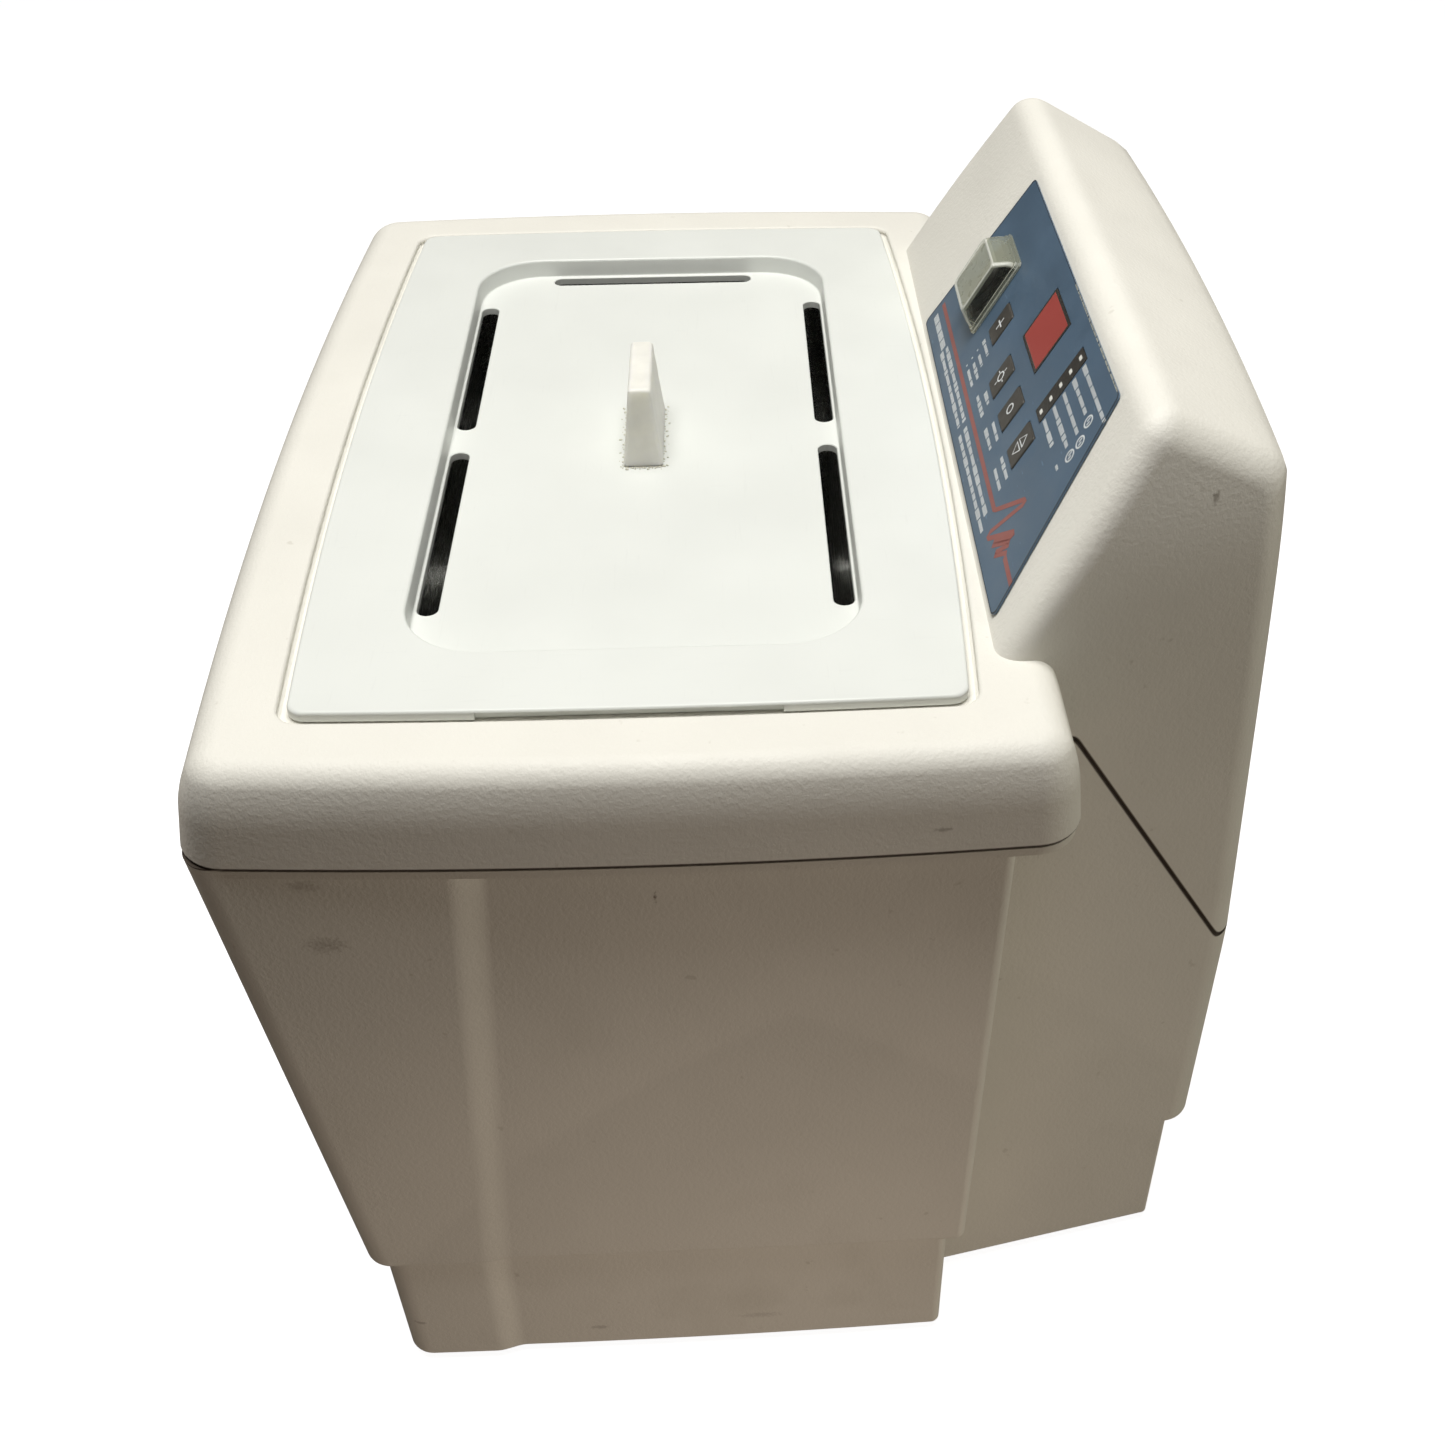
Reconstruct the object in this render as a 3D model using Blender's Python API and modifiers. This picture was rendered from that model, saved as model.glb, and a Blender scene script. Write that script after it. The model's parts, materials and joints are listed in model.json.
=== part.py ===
"""Bench-top heated ultrasonic bath: two moulded housings, pressed tank, lift-off slotted cover, rear console.

Units are metres.  Lengths below are given from the middle of the tank (Y) and from the bench (Z).  The empty
"bath_origin" moves the whole model back so that the origin is the middle of its footprint.
X is the width, -Y the front, +Z up.
"""
import math

import bmesh
import bpy
from mathutils import Matrix, Vector

# ---------------------------------------------------------------- driving dimensions
GAP = 0.0003                    # clearance between touching pieces
WALL = 0.004                    # structural-foam moulding
FOOT_H = 0.004                  # feet below the plinth
PLINTH_TOP = 0.070
PARTING_Z = 0.2817              # joint between the two housings
RIM_Z = 0.3153                  # top of the rim
RIM_HALF_X = 0.1955             # at the corners; the sides bow out by RIM_BOW_X
RIM_FRONT = -0.1285             # at RIM_Z; the front and back flare out towards the joint
RIM_REAR = 0.1310
FRONT_FLARE = 0.0044
REAR_FLARE = 0.0022
RIM_BOW_X = 0.0045
RIM_BOW_FRONT = 0.0065
RIM_CORNER = 0.0140             # radius in plan
RIM_ROUND = 0.0130              # radius of the rim's top edge
RIM_DRAFT = 0.0012              # inset of the rim's side where that radius starts
LIP_H = 0.0050                  # lip of the lower housing under the joint

# pairs: at the plinth's top and at the joint
PILASTER_X = (0.1887, 0.1953)   # half width over the front corner pilasters
SIDE_WALL_X = (0.1870, 0.1917)  # half width over the recessed sides, at their front
SIDE_DRAW_IN = 0.0019           # the recessed sides draw in towards the back
SKIRT_FRONT = (-0.1132, -0.1326)
SKIRT_REAR = (0.1116, 0.1143)
STEP_Y = (-0.0640, -0.0490)     # where the pilaster steps back to the side
BODY_CORNER = 0.0100

PLINTH_PILASTER_X = 0.1862
PLINTH_SIDE_X = 0.1838
PLINTH_DRAW_IN = 0.0034
PLINTH_FRONT = (-0.1060, -0.1078)       # at the plinth's bottom and at its top
PLINTH_REAR = 0.1058
PLINTH_STEP_Y = -0.0650

LID_HALF_X = 0.1675
LID_HALF_Y = 0.0997
LID_BOW_X = 0.0017
LID_BOW_Y = 0.0054
LID_TOP = 0.3164
LID_T = 0.0038
LID_GAP = 0.0028                # between the cover's edge and the rim
PAN_HALF_X = 0.1395
PAN_HALF_Y = 0.0717
PAN_CORNER = 0.0250
PAN_FLOOR = 0.3090
PAN_T = 0.0028
FINGER_HALF_Y = 0.0450          # notches in the cover's end edges
SLOT_Y = 0.0668
SLOT_W = 0.0070
SLOT_X0 = 0.0082
SLOT_X1 = 0.1102
END_SLOT_X = 0.1340
END_SLOT_HALF_Y = 0.0420

TANK_HALF_X = 0.1460            # 292 x 152 x 152 mm inside
TANK_HALF_Y = 0.0760
TANK_DEPTH = 0.1520
TANK_CORNER = 0.0280
TANK_T = 0.0010
FLANGE_W = 0.0120
LEDGE_T = 0.0035
GASKET_T = 0.0012
TANK_FILLET = 0.0140            # round the tank's floor
TANK_PORT = (-0.105, 0.0)
LEDGE_TOP = LID_TOP - LID_T - GAP
FLANGE_TOP = LEDGE_TOP - LEDGE_T - GAP - GASKET_T - GAP
TANK_FLOOR = FLANGE_TOP - TANK_DEPTH

FACE_BASE_Y = 0.1098            # foot of the console's sloping face, at RIM_Z
FACE_ANGLE = math.radians(60)
APEX = (0.1529, 0.3898)         # (y, z)
REAR_TOP = (0.1960, 0.3670)
REAR_Y = 0.2091
REAR_KINK_Z = 0.1700
REAR_BOW = 0.0040
REAR_STEP = 0.0100              # the plinth is set in from the back
SIDE_X = 0.1505                 # half width of the rear body at SIDE_Y and z = 0
SIDE_Y = 0.1134
SIDE_TAPER = 0.2158             # narrowing per metre of depth
SIDE_DRAFT = -0.0060            # narrowing per metre of height, so the sides open out a little upwards
SIDE_FOLD_Z = 0.3490            # above this the sides lean in by SIDE_LEAN per metre of height
SIDE_LEAN = 0.24
EDGE_ROUND = 0.0080
FACE_FOOT_DROP = 0.0256         # the sloping face is carried this far below RIM_Z
REAR_BODY_FRONT = 0.0980        # where the rear part of the plinth starts
PARTING_TURN_Y = 0.1375
PARTING_REAR_Y = 0.2035
PARTING_REAR_Z = 0.1725

PANEL_SLOPE = Vector((0, math.cos(FACE_ANGLE), math.sin(FACE_ANGLE)))
PANEL_NORMAL = Vector((0, -math.sin(FACE_ANGLE), math.cos(FACE_ANGLE)))
OVERLAY_T = 0.0006
OVERLAY_CORNERS = [(-0.0698, 0.0030), (0.1325, 0.0030), (0.1088, 0.0757), (-0.0568, 0.0757)]
KEY_W = 0.0115
KEY_H = 0.0130
KEYS = [(-0.0015, 0.0400), (0.0273, 0.0336), (0.0500, 0.0336), (0.0735, 0.0334)]
KEY_TRAVEL = 0.0005
WINDOW = (0.0353, 0.0579, 0.0271, 0.0204)      # middle x, middle s, width, height
STRIP = (0.0711, 0.0565, 0.0080, 0.0257)
LED_PITCH = 0.0054
SWITCH = (-0.0305, 0.0418)
ROCKER_THROW = math.radians(14)
PANEL_POSTS = [(-0.008, 0.068), (0.084, 0.068), (0.084, 0.026), (0.012, 0.026)]

BASE_Z = 0.0085
BASE_T = 0.0015
BOSSES = [(0.1765, -0.082), (-0.1765, -0.082), (0.1340, 0.150), (-0.1340, 0.150)]
BOSS_TOP = 0.0340
FEET = {"front_left": (-0.150, -0.079), "front_right": (0.150, -0.079),
        "rear_left": (-0.105, 0.168), "rear_right": (0.105, 0.168)}
DRAIN_X = -0.1660
DRAIN_Z = 0.1050
DRAIN_WALL_Y = 0.1119           # outside of the wall that the drain goes through
LEVER_Y = 0.1260
INLET_Z = 0.1250
TRANSDUCERS_X = (-0.050, 0.070)
BOARD_Z = 0.0200
BOARD_T = 0.0016

FRONT_MOST = RIM_FRONT - FRONT_FLARE - RIM_BOW_FRONT
REAR_MOST = REAR_Y + REAR_BOW
Y_CENTRE = (FRONT_MOST + REAR_MOST) / 2

# ---------------------------------------------------------------- scene and helpers
for old in list(bpy.data.objects):
    bpy.data.objects.remove(old)

parts = bpy.data.collections.new("heated_ultrasonic_bath")
cutters = bpy.data.collections.new("cutters")
bpy.context.scene.collection.children.link(parts)
bpy.context.scene.collection.children.link(cutters)

origin = bpy.data.objects.new("bath_origin", None)
origin.location = (0, -Y_CENTRE, 0)
parts.objects.link(origin)

panel_frame = bpy.data.objects.new("panel_frame", None)
panel_frame.parent = origin
panel_frame.location = (0, FACE_BASE_Y, RIM_Z)
panel_frame.rotation_euler = (FACE_ANGLE, 0, 0)
parts.objects.link(panel_frame)


def material(name, colour, roughness, metallic=0.0, alpha=1.0):
    mat = bpy.data.materials.new(name)
    mat.use_nodes = True
    shader = mat.node_tree.nodes["Principled BSDF"]
    shader.inputs["Base Color"].default_value = (*colour, 1)
    shader.inputs["Roughness"].default_value = roughness
    shader.inputs["Metallic"].default_value = metallic
    shader.inputs["Alpha"].default_value = alpha
    return mat


HOUSING = material("housing_plastic", (0.86, 0.85, 0.77), 0.6)
COVER = material("cover_plastic", (0.88, 0.89, 0.83), 0.5)
HANDLE = material("handle_plastic", (0.82, 0.81, 0.75), 0.5)
STAINLESS = material("stainless_steel", (0.62, 0.62, 0.60), 0.25, 1.0)
ALUMINIUM = material("aluminium", (0.70, 0.71, 0.72), 0.35, 1.0)
STEEL = material("zinc_steel", (0.55, 0.56, 0.58), 0.4, 1.0)
BRASS = material("brass", (0.70, 0.55, 0.25), 0.3, 1.0)
CERAMIC = material("piezo_ceramic", (0.75, 0.70, 0.58), 0.5)
RUBBER = material("black_rubber", (0.03, 0.03, 0.03), 0.8)
SILICONE = material("clear_silicone", (0.75, 0.76, 0.68), 0.3, 0.0, 0.5)
HEATER = material("heater_silicone", (0.55, 0.16, 0.07), 0.7)
OVERLAY = material("panel_blue", (0.10, 0.15, 0.21), 0.45)
KEYPAD = material("key_grey", (0.07, 0.065, 0.055), 0.5)
RED_WINDOW = material("red_window", (0.38, 0.08, 0.07), 0.2)
DARK_WINDOW = material("dark_window", (0.05, 0.05, 0.05), 0.2)
BLACK = material("black_plastic", (0.02, 0.02, 0.02), 0.4)
BOARD = material("board_green", (0.03, 0.18, 0.07), 0.5)
LED = material("led_lens", (0.8, 0.8, 0.78), 0.2)
TUBING = material("drain_tubing", (0.70, 0.70, 0.66), 0.4)


def finish_mesh(obj, mat, smooth_angle=35):
    if mat:
        obj.data.materials.append(mat)
        obj.data.shade_smooth()
        obj.data.set_sharp_from_angle(angle=math.radians(smooth_angle))
    return obj


def add_object(name, bm, mat=None, parent=None, location=(0, 0, 0)):
    """Make an object of a bmesh; without a material it is a hidden cutter."""
    bmesh.ops.recalc_face_normals(bm, faces=bm.faces)
    mesh = bpy.data.meshes.new(name)
    bm.to_mesh(mesh)
    bm.free()
    obj = bpy.data.objects.new(name, mesh)
    obj.location = location
    obj.parent = parent or origin
    (parts if mat else cutters).objects.link(obj)
    if not mat:
        obj.hide_render = True
        obj.display_type = "WIRE"
    return finish_mesh(obj, mat)


def loft(name, sections, mat=None, parent=None, location=(0, 0, 0)):
    """A closed solid through rings of 3-D points, all of the same count."""
    bm = bmesh.new()
    rings = [[bm.verts.new(point) for point in section] for section in sections]
    count = len(rings[0])
    for low, high in zip(rings, rings[1:]):
        for i in range(count):
            j = (i + 1) % count
            bm.faces.new((low[i], low[j], high[j], high[i]))
    bm.faces.new(rings[0])
    bm.faces.new(rings[-1])
    return add_object(name, bm, mat, parent, location)


def prism(name, outline, z0, z1, mat=None, parent=None, location=(0, 0, 0)):
    """A flat outline extruded from z0 to z1."""
    bm = bmesh.new()
    face = bm.faces.new([bm.verts.new((x, y, z0)) for x, y in outline])
    moved = bmesh.ops.extrude_face_region(bm, geom=[face])["geom"]
    lifted = [item for item in moved if isinstance(item, bmesh.types.BMVert)]
    bmesh.ops.translate(bm, verts=lifted, vec=(0, 0, z1 - z0))
    return add_object(name, bm, mat, parent, location)


def block(name, low, high, mat=None, parent=None, bevel=0.0):
    """A box between two corners, with its edges rounded when bevel is given."""
    bm = bmesh.new()
    bmesh.ops.create_cube(bm, size=1)
    low, high = Vector(low), Vector(high)
    bmesh.ops.scale(bm, vec=high - low, verts=bm.verts)
    if bevel:
        bmesh.ops.bevel(bm, geom=bm.edges[:], offset=bevel, segments=2, affect="EDGES", profile=0.5)
    return add_object(name, bm, mat, parent, (low + high) / 2)


def cylinder(name, radius, z0, z1, centre=(0, 0), mat=None, parent=None, top_radius=None, segments=32,
             axis="Z"):
    """A round bar or cone along an axis; z0 and z1 are places along that axis, centre is across it."""
    bm = bmesh.new()
    top = radius if top_radius is None else top_radius
    bmesh.ops.create_cone(bm, cap_ends=True, segments=segments, radius1=radius, radius2=top, depth=z1 - z0)
    if axis == "Y":
        bmesh.ops.rotate(bm, matrix=Matrix.Rotation(-math.pi / 2, 3, "X"), verts=bm.verts)
        place = (centre[0], (z0 + z1) / 2, centre[1])
    elif axis == "X":
        bmesh.ops.rotate(bm, matrix=Matrix.Rotation(math.pi / 2, 3, "Y"), verts=bm.verts)
        place = ((z0 + z1) / 2, centre[0], centre[1])
    else:
        place = (centre[0], centre[1], (z0 + z1) / 2)
    return add_object(name, bm, mat, parent, place)


def turned(name, profile, mat, centre=(0, 0, 0), parent=None, steps=32, closed=True):
    """A turned piece: (radius, height) points that run down the outer side, then back."""
    mesh = bpy.data.meshes.new(name)
    count = len(profile)
    edges = [(i, (i + 1) % count) for i in range(count if closed else count - 1)]
    mesh.from_pydata([(r, 0, h) for r, h in profile], edges, [])
    obj = bpy.data.objects.new(name, mesh)
    obj.location = centre
    obj.parent = parent or origin
    (parts if mat else cutters).objects.link(obj)
    screw = obj.modifiers.new("turn", "SCREW")
    screw.steps = steps
    screw.render_steps = steps
    screw.use_merge_vertices = True
    screw.merge_threshold = 0.00001
    screw.use_smooth_shade = True
    if mat:
        mesh.materials.append(mat)
    else:
        obj.hide_render = True
        obj.display_type = "WIRE"
    return obj


def boolean(obj, tool, operation="DIFFERENCE"):
    modifier = obj.modifiers.new(operation.lower(), "BOOLEAN")
    modifier.operation = operation
    modifier.solver = "EXACT"
    modifier.object = tool
    return obj


def united(obj, others):
    for other in others:
        boolean(obj, other, "UNION")
    return obj


def rounded_rect(half_x, y0, y1, radius, bow_x=0.0, bow_front=0.0, bow_rear=0.0, arc=5, run=6):
    """A rectangle with round corners whose edges bow outwards, as (x, y) points."""
    middle, half_y = (y0 + y1) / 2, (y1 - y0) / 2
    corners = [(half_x, y0, -90), (half_x, y1, 0), (-half_x, y1, 90), (-half_x, y0, 180)]
    points = []
    for x, y, start in corners:
        centre_x = x - math.copysign(radius, x)
        centre_y = y - math.copysign(radius, y - middle)
        arc_points = []
        for i in range(arc + 1):
            angle = math.radians(start + 90 * i / arc)
            arc_points.append((centre_x + radius * math.cos(angle), centre_y + radius * math.sin(angle)))
        if points:
            points += between(points[-1], arc_points[0], run)
        points += arc_points
    points += between(points[-1], points[0], run)
    bowed = []
    for x, y in points:
        u, v = x / half_x, (y - middle) / half_y
        bow_y = bow_rear if v > 0 else bow_front
        bowed.append((x + bow_x * u * (1 - v * v), y + bow_y * v * (1 - u * u)))
    return bowed


def between(a, b, count):
    return [(a[0] + (b[0] - a[0]) * i / count, a[1] + (b[1] - a[1]) * i / count) for i in range(1, count)]


def at_height(outline, z):
    return [(x, y, z) for x, y in outline]


def stadium(length, width, steps=6):
    """A slot outline along X with round ends, centred on the origin."""
    radius, reach = width / 2, length / 2 - width / 2
    points = []
    for side, start in ((1, -90), (-1, 90)):
        for i in range(steps + 1):
            angle = math.radians(start + 180 * i / steps)
            points.append((side * reach + radius * math.cos(angle), radius * math.sin(angle)))
    return points


def mix(pair, t):
    return pair[0] + (pair[1] - pair[0]) * t


# ---------------------------------------------------------------- shapes shared by the two housings
def rim_outline(inset, z):
    """The rim in plan at a height."""
    drop = (RIM_Z - z) / (RIM_Z - PARTING_Z)
    front = RIM_FRONT - FRONT_FLARE * drop + inset
    rear = RIM_REAR + REAR_FLARE * drop - inset
    corner = RIM_CORNER - min(inset, 0.009)
    return rounded_rect(RIM_HALF_X - inset, front, rear, corner, RIM_BOW_X, RIM_BOW_FRONT)


def rim_sections():
    """The rim: slightly drafted sides and a large radius round its top edge."""
    low = PARTING_Z + 0.0001
    sections = [at_height(rim_outline(0.0, low), low)]
    for i in range(7):
        angle = math.radians(15 * i)
        z = RIM_Z - RIM_ROUND * (1 - math.sin(angle))
        sections.append(at_height(rim_outline(RIM_DRAFT + RIM_ROUND * (1 - math.cos(angle)), z), z))
    return sections


def side_x(y, z):
    return SIDE_X - SIDE_TAPER * (y - SIDE_Y) - SIDE_DRAFT * z


def offset_profile(points, distance):
    """Move each side of a convex (y, z) profile inwards; the points run clockwise seen from +X."""
    lines = []
    for (y0, z0), (y1, z1) in zip(points, points[1:] + points[:1]):
        direction = Vector((y1 - y0, z1 - z0)).normalized()
        normal = Vector((direction.y, -direction.x))
        lines.append((Vector((y0, z0)) + normal * distance, direction))
    result = []
    for (p, d), (q, e) in zip(lines[-1:] + lines[:-1], lines):
        t = (q - p).cross(e) / d.cross(e)
        result.append(tuple(p + d * t))
    return result


def lean_cutter(side, inset):
    """What the rear body loses above SIDE_FOLD_Z, where its sides lean in."""
    drop, rise, far = 0.03, 0.06, 0.25
    sections = []
    for y in (0.05, 0.26):
        fold = side_x(y, SIDE_FOLD_Z) - inset
        ring = [(fold + SIDE_LEAN * drop, -drop), (fold - SIDE_LEAN * rise, rise), (far, rise), (far, -drop)]
        sections.append([(side * x, y, SIDE_FOLD_Z + height) for x, height in ring])
    return loft("lean", sections)


def rear_body(name, inset=0.0, bottom=PLINTH_TOP - 0.003):
    """The rear body: a side profile carried across the width between tapering sides, with a bowed back."""
    face_foot = (FACE_BASE_Y - FACE_FOOT_DROP / math.tan(FACE_ANGLE), RIM_Z - FACE_FOOT_DROP)
    profile = [(face_foot[0], 0.0), face_foot, APEX, REAR_TOP, (REAR_Y, REAR_KINK_Z), (REAR_Y, 0.0)]
    bowed = [0, 0, 0, 1, 1, 1]
    if inset:
        profile = offset_profile(profile, inset)
    profile[0] = (profile[0][0], bottom)
    profile[5] = (profile[5][0], bottom)
    sections = []
    columns = 8
    for i in range(columns + 1):
        t = 2 * i / columns - 1
        ring = []
        for (y, z), bow in zip(profile, bowed):
            half = side_x(y, z) - inset
            ring.append((t * half, y + bow * REAR_BOW * (1 - t * t), z))
        sections.append(ring)
    obj = loft(name, sections)
    for side in (1, -1):
        boolean(obj, lean_cutter(side, inset))
    if not inset:
        bevel = obj.modifiers.new("round edges", "BEVEL")
        bevel.width = EDGE_ROUND
        bevel.segments = 4
        bevel.limit_method = "ANGLE"
        bevel.angle_limit = math.radians(25)
    return obj


def parting_cutter(name, above, shift):
    """Everything above or below the joint between the two housings."""
    line = [(0.02, PARTING_Z + shift), (PARTING_TURN_Y, PARTING_Z + shift),
            (PARTING_REAR_Y, PARTING_REAR_Z + shift), (0.26, PARTING_REAR_Z + shift)]
    far = 0.45 if above else -0.05
    outline = line + [(0.26, far), (0.02, far)]
    sections = [[(x, y, z) for y, z in outline] for x in (-0.25, 0.25)]
    return loft(name, sections)


def panel_cutter(name, x, s, width, height, depth0=-0.02, depth1=0.02):
    return block(name, (x - width / 2, s - height / 2, depth0), (x + width / 2, s + height / 2, depth1),
                 parent=panel_frame)


def lid_outline(extra, radius):
    return rounded_rect(LID_HALF_X + extra, -LID_HALF_Y - extra, LID_HALF_Y + extra, radius,
                        LID_BOW_X, LID_BOW_Y, LID_BOW_Y)


# ---------------------------------------------------------------- upper housing
def upper_housing():
    housing = loft("upper_housing", rim_sections(), HOUSING)
    console = rear_body("console_outer")
    boolean(console, parting_cutter("below_joint", above=False, shift=GAP))
    boolean(housing, console, "UNION")
    ledge_low = LEDGE_TOP - LEDGE_T
    cavity = [at_height(rim_outline(WALL, z), z) for z in (PARTING_Z - 0.01, ledge_low)]
    boolean(housing, loft("rim_cavity", cavity))
    boolean(housing, rear_body("console_cavity", inset=WALL, bottom=0.10))
    boolean(housing, prism("cover_recess", lid_outline(LID_GAP, 0.006), LEDGE_TOP, 0.36))
    opening = rounded_rect(TANK_HALF_X + 0.002, -TANK_HALF_Y - 0.002, TANK_HALF_Y + 0.002, TANK_CORNER, run=2)
    boolean(housing, prism("tank_opening", opening, 0.25, 0.34))
    for i, (x, s) in enumerate(KEYS, 1):
        boolean(housing, panel_cutter(f"key_pocket_{i}", x, s, KEY_W + 0.0012, KEY_H + 0.0012, -0.0018))
        boolean(housing, cylinder(f"key_bore_{i}", 0.0023, -0.02, 0.01, (x, s), parent=panel_frame,
                                  segments=16))
    x, s, width, height = WINDOW
    boolean(housing, panel_cutter("window_hole", x, s, width - 0.004, height - 0.004))
    x, s, width, height = STRIP
    boolean(housing, panel_cutter("strip_hole", x, s, width - 0.003, height - 0.001))
    boolean(housing, panel_cutter("switch_hole", *SWITCH, 0.0196, 0.0216))
    united(housing, [cylinder(f"panel_post_{i}", 0.0028, -0.0105, -WALL + 0.0010, place, parent=panel_frame,
                              segments=12)
                     for i, place in enumerate(PANEL_POSTS)])
    return housing


# ---------------------------------------------------------------- lower housing
def body_outline(proud, recessed, draw_in, front, step, rear):
    """The body in plan: front corner pilasters, then sides that draw in towards the back."""
    half = []
    for i in range(4):
        x = (proud - BODY_CORNER) * i / 4
        half.append((x, front - RIM_BOW_FRONT * (1 - (x / proud) ** 2)))
    for i in range(5):
        angle = math.radians(-90 + 90 * i / 4)
        half.append((proud - BODY_CORNER * (1 - math.cos(angle)),
                     front + BODY_CORNER * (1 + math.sin(angle))))
    for t, along in ((0, -0.006), (0.2, -0.003), (0.8, 0.003), (1, 0.006)):
        half.append((mix((proud, recessed), t), step + along))
    for t in (0.35, 0.7):
        half.append((recessed - draw_in * t * t, mix((step, rear), t)))
    corner = recessed - draw_in
    half += [(corner, rear - 0.0035), (corner - 0.0010, rear - 0.0010), (corner - 0.0035, rear), (0.08, rear)]
    return half + [(-x, y) for x, y in reversed(half) if x > 0]


def skirt_outline(z, inset):
    rise = (z - PLINTH_TOP) / (PARTING_Z - PLINTH_TOP)
    return body_outline(mix(PILASTER_X, rise) - inset, mix(SIDE_WALL_X, rise) - inset, SIDE_DRAW_IN,
                        mix(SKIRT_FRONT, rise) + inset, mix(STEP_Y, rise), mix(SKIRT_REAR, rise) - inset)


def plinth_outline(z, inset):
    rise = (z - FOOT_H) / (PLINTH_TOP - FOOT_H)
    return body_outline(PLINTH_PILASTER_X - inset, PLINTH_SIDE_X - inset, PLINTH_DRAW_IN,
                        mix(PLINTH_FRONT, rise) + inset, PLINTH_STEP_Y, PLINTH_REAR - inset)


def plinth_rear(inset, z0, z1):
    """The rear half of the plinth, set in from the back of the body."""
    back = REAR_Y - REAR_STEP - inset
    sections = []
    for z in (z0, z1):
        near, far = side_x(REAR_BODY_FRONT, z) - inset, side_x(back, z) - inset
        bowed = [(far * t, back + REAR_BOW * (1 - t * t)) for t in (1, 0.5, 0, -0.5, -1)]
        sections.append(at_height([(near, REAR_BODY_FRONT), *bowed, (-near, REAR_BODY_FRONT)], z))
    return sections


def lower_housing():
    top = PARTING_Z - GAP
    edge = [(PLINTH_TOP - 0.003, 0.0030), (PLINTH_TOP - 0.0018, 0.0010)]
    edge += [(PLINTH_TOP + 0.001, 0.0), (top, 0.0)]
    housing = loft("lower_housing", [at_height(skirt_outline(z, inset), z) for z, inset in edge], HOUSING)
    edge = [(FOOT_H, 0.0015), (FOOT_H + 0.0015, 0.0), (PLINTH_TOP, 0.0)]
    plinth = loft("plinth_front", [at_height(plinth_outline(z, inset), z) for z, inset in edge])
    boolean(housing, plinth, "UNION")
    boolean(housing, loft("plinth_back", plinth_rear(0.0, FOOT_H, PLINTH_TOP + 0.002)), "UNION")
    back = rear_body("body_back")
    boolean(back, parting_cutter("above_joint", above=True, shift=-GAP))
    boolean(housing, back, "UNION")
    edge = [(top - LIP_H, 0.0022), (top - LIP_H + 0.001, 0.0010), (top, 0.0008)]
    lip = [at_height(rim_outline(inset, PARTING_Z), z) for z, inset in edge]
    boolean(housing, loft("lip", lip), "UNION")
    cavity = [at_height(plinth_outline(z, WALL), z) for z in (-0.02, PLINTH_TOP)]
    cavity += [at_height(skirt_outline(z, WALL), z) for z in (PLINTH_TOP + 0.001, 0.30)]
    boolean(housing, loft("body_cavity", cavity))
    boolean(housing, rear_body("back_cavity", inset=WALL, bottom=PLINTH_TOP + 0.001))
    boolean(housing, loft("plinth_cavity", plinth_rear(WALL, -0.02, PLINTH_TOP + 0.002)))
    for i, (x, y) in enumerate(BOSSES, 1):
        boss = cylinder(f"boss_{i}", 0.0068, BASE_Z + BASE_T + GAP, BOSS_TOP, (x, y), segments=16)
        bore = cylinder(f"boss_bore_{i}", 0.0018, -0.01, BOSS_TOP - 0.006, (x, y), segments=12)
        boolean(housing, boss, "UNION")
        boolean(housing, bore)
    boolean(housing, cylinder("drain_hole", 0.0085, 0.10, 0.125, (DRAIN_X, DRAIN_Z), axis="Y"))
    boolean(housing, block("inlet_hole", (-0.0150, 0.19, INLET_Z - 0.0175), (0.0150, 0.22, INLET_Z + 0.0175)))
    boolean(housing, block("inlet_seat", (-0.0260, REAR_MOST - 0.0022, INLET_Z - 0.0205),
                           (0.0260, 0.22, INLET_Z + 0.0205)))
    return housing


# ---------------------------------------------------------------- cover
def lid():
    cover = prism("lid", lid_outline(0.0, 0.005), LID_TOP - LID_T, LID_TOP, COVER)
    pan_y = PAN_HALF_Y + PAN_T
    pan_outer = rounded_rect(PAN_HALF_X + PAN_T, -pan_y, pan_y, PAN_CORNER + PAN_T, run=2)
    boolean(cover, prism("pan_outer", pan_outer, PAN_FLOOR - PAN_T, LID_TOP - 0.001), "UNION")
    pan_inner = rounded_rect(PAN_HALF_X, -PAN_HALF_Y, PAN_HALF_Y, PAN_CORNER, run=2)
    boolean(cover, prism("pan_inner", pan_inner, PAN_FLOOR, LID_TOP + 0.01))
    length = SLOT_X1 - SLOT_X0
    for place, across in (("right", 1), ("left", -1)):
        for row, along in (("rear", 1), ("front", -1)):
            slot = prism(f"slot_{row}_{place}", stadium(length, SLOT_W), 0.29, 0.33)
            slot.location = (across * (SLOT_X0 + SLOT_X1) / 2, along * SLOT_Y, 0)
            boolean(cover, slot)
        end = prism(f"end_slot_{place}", stadium(2 * END_SLOT_HALF_Y, SLOT_W), 0.29, 0.33)
        end.rotation_euler.z = math.pi / 2
        end.location = (across * END_SLOT_X, 0, 0)
        boolean(cover, end)
        low, high = sorted((across * (LID_HALF_X - GAP), across * 0.20))
        boolean(cover, block(f"finger_notch_{place}", (low, -FINGER_HALF_Y, 0.29),
                             (high, FINGER_HALF_Y, LID_TOP - 0.0012)))
    return cover


def lid_handle():
    base = PAN_FLOOR + GAP
    rings = []
    for half_x, half_y, z in ((0.0217, 0.0071, base), (0.0190, 0.0040, 0.3374), (0.0182, 0.0033, 0.3383)):
        rings.append(at_height(rounded_rect(half_x, -half_y, half_y, 0.0012, arc=2, run=1), z))
    return loft("lid_handle", rings, HANDLE)


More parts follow.
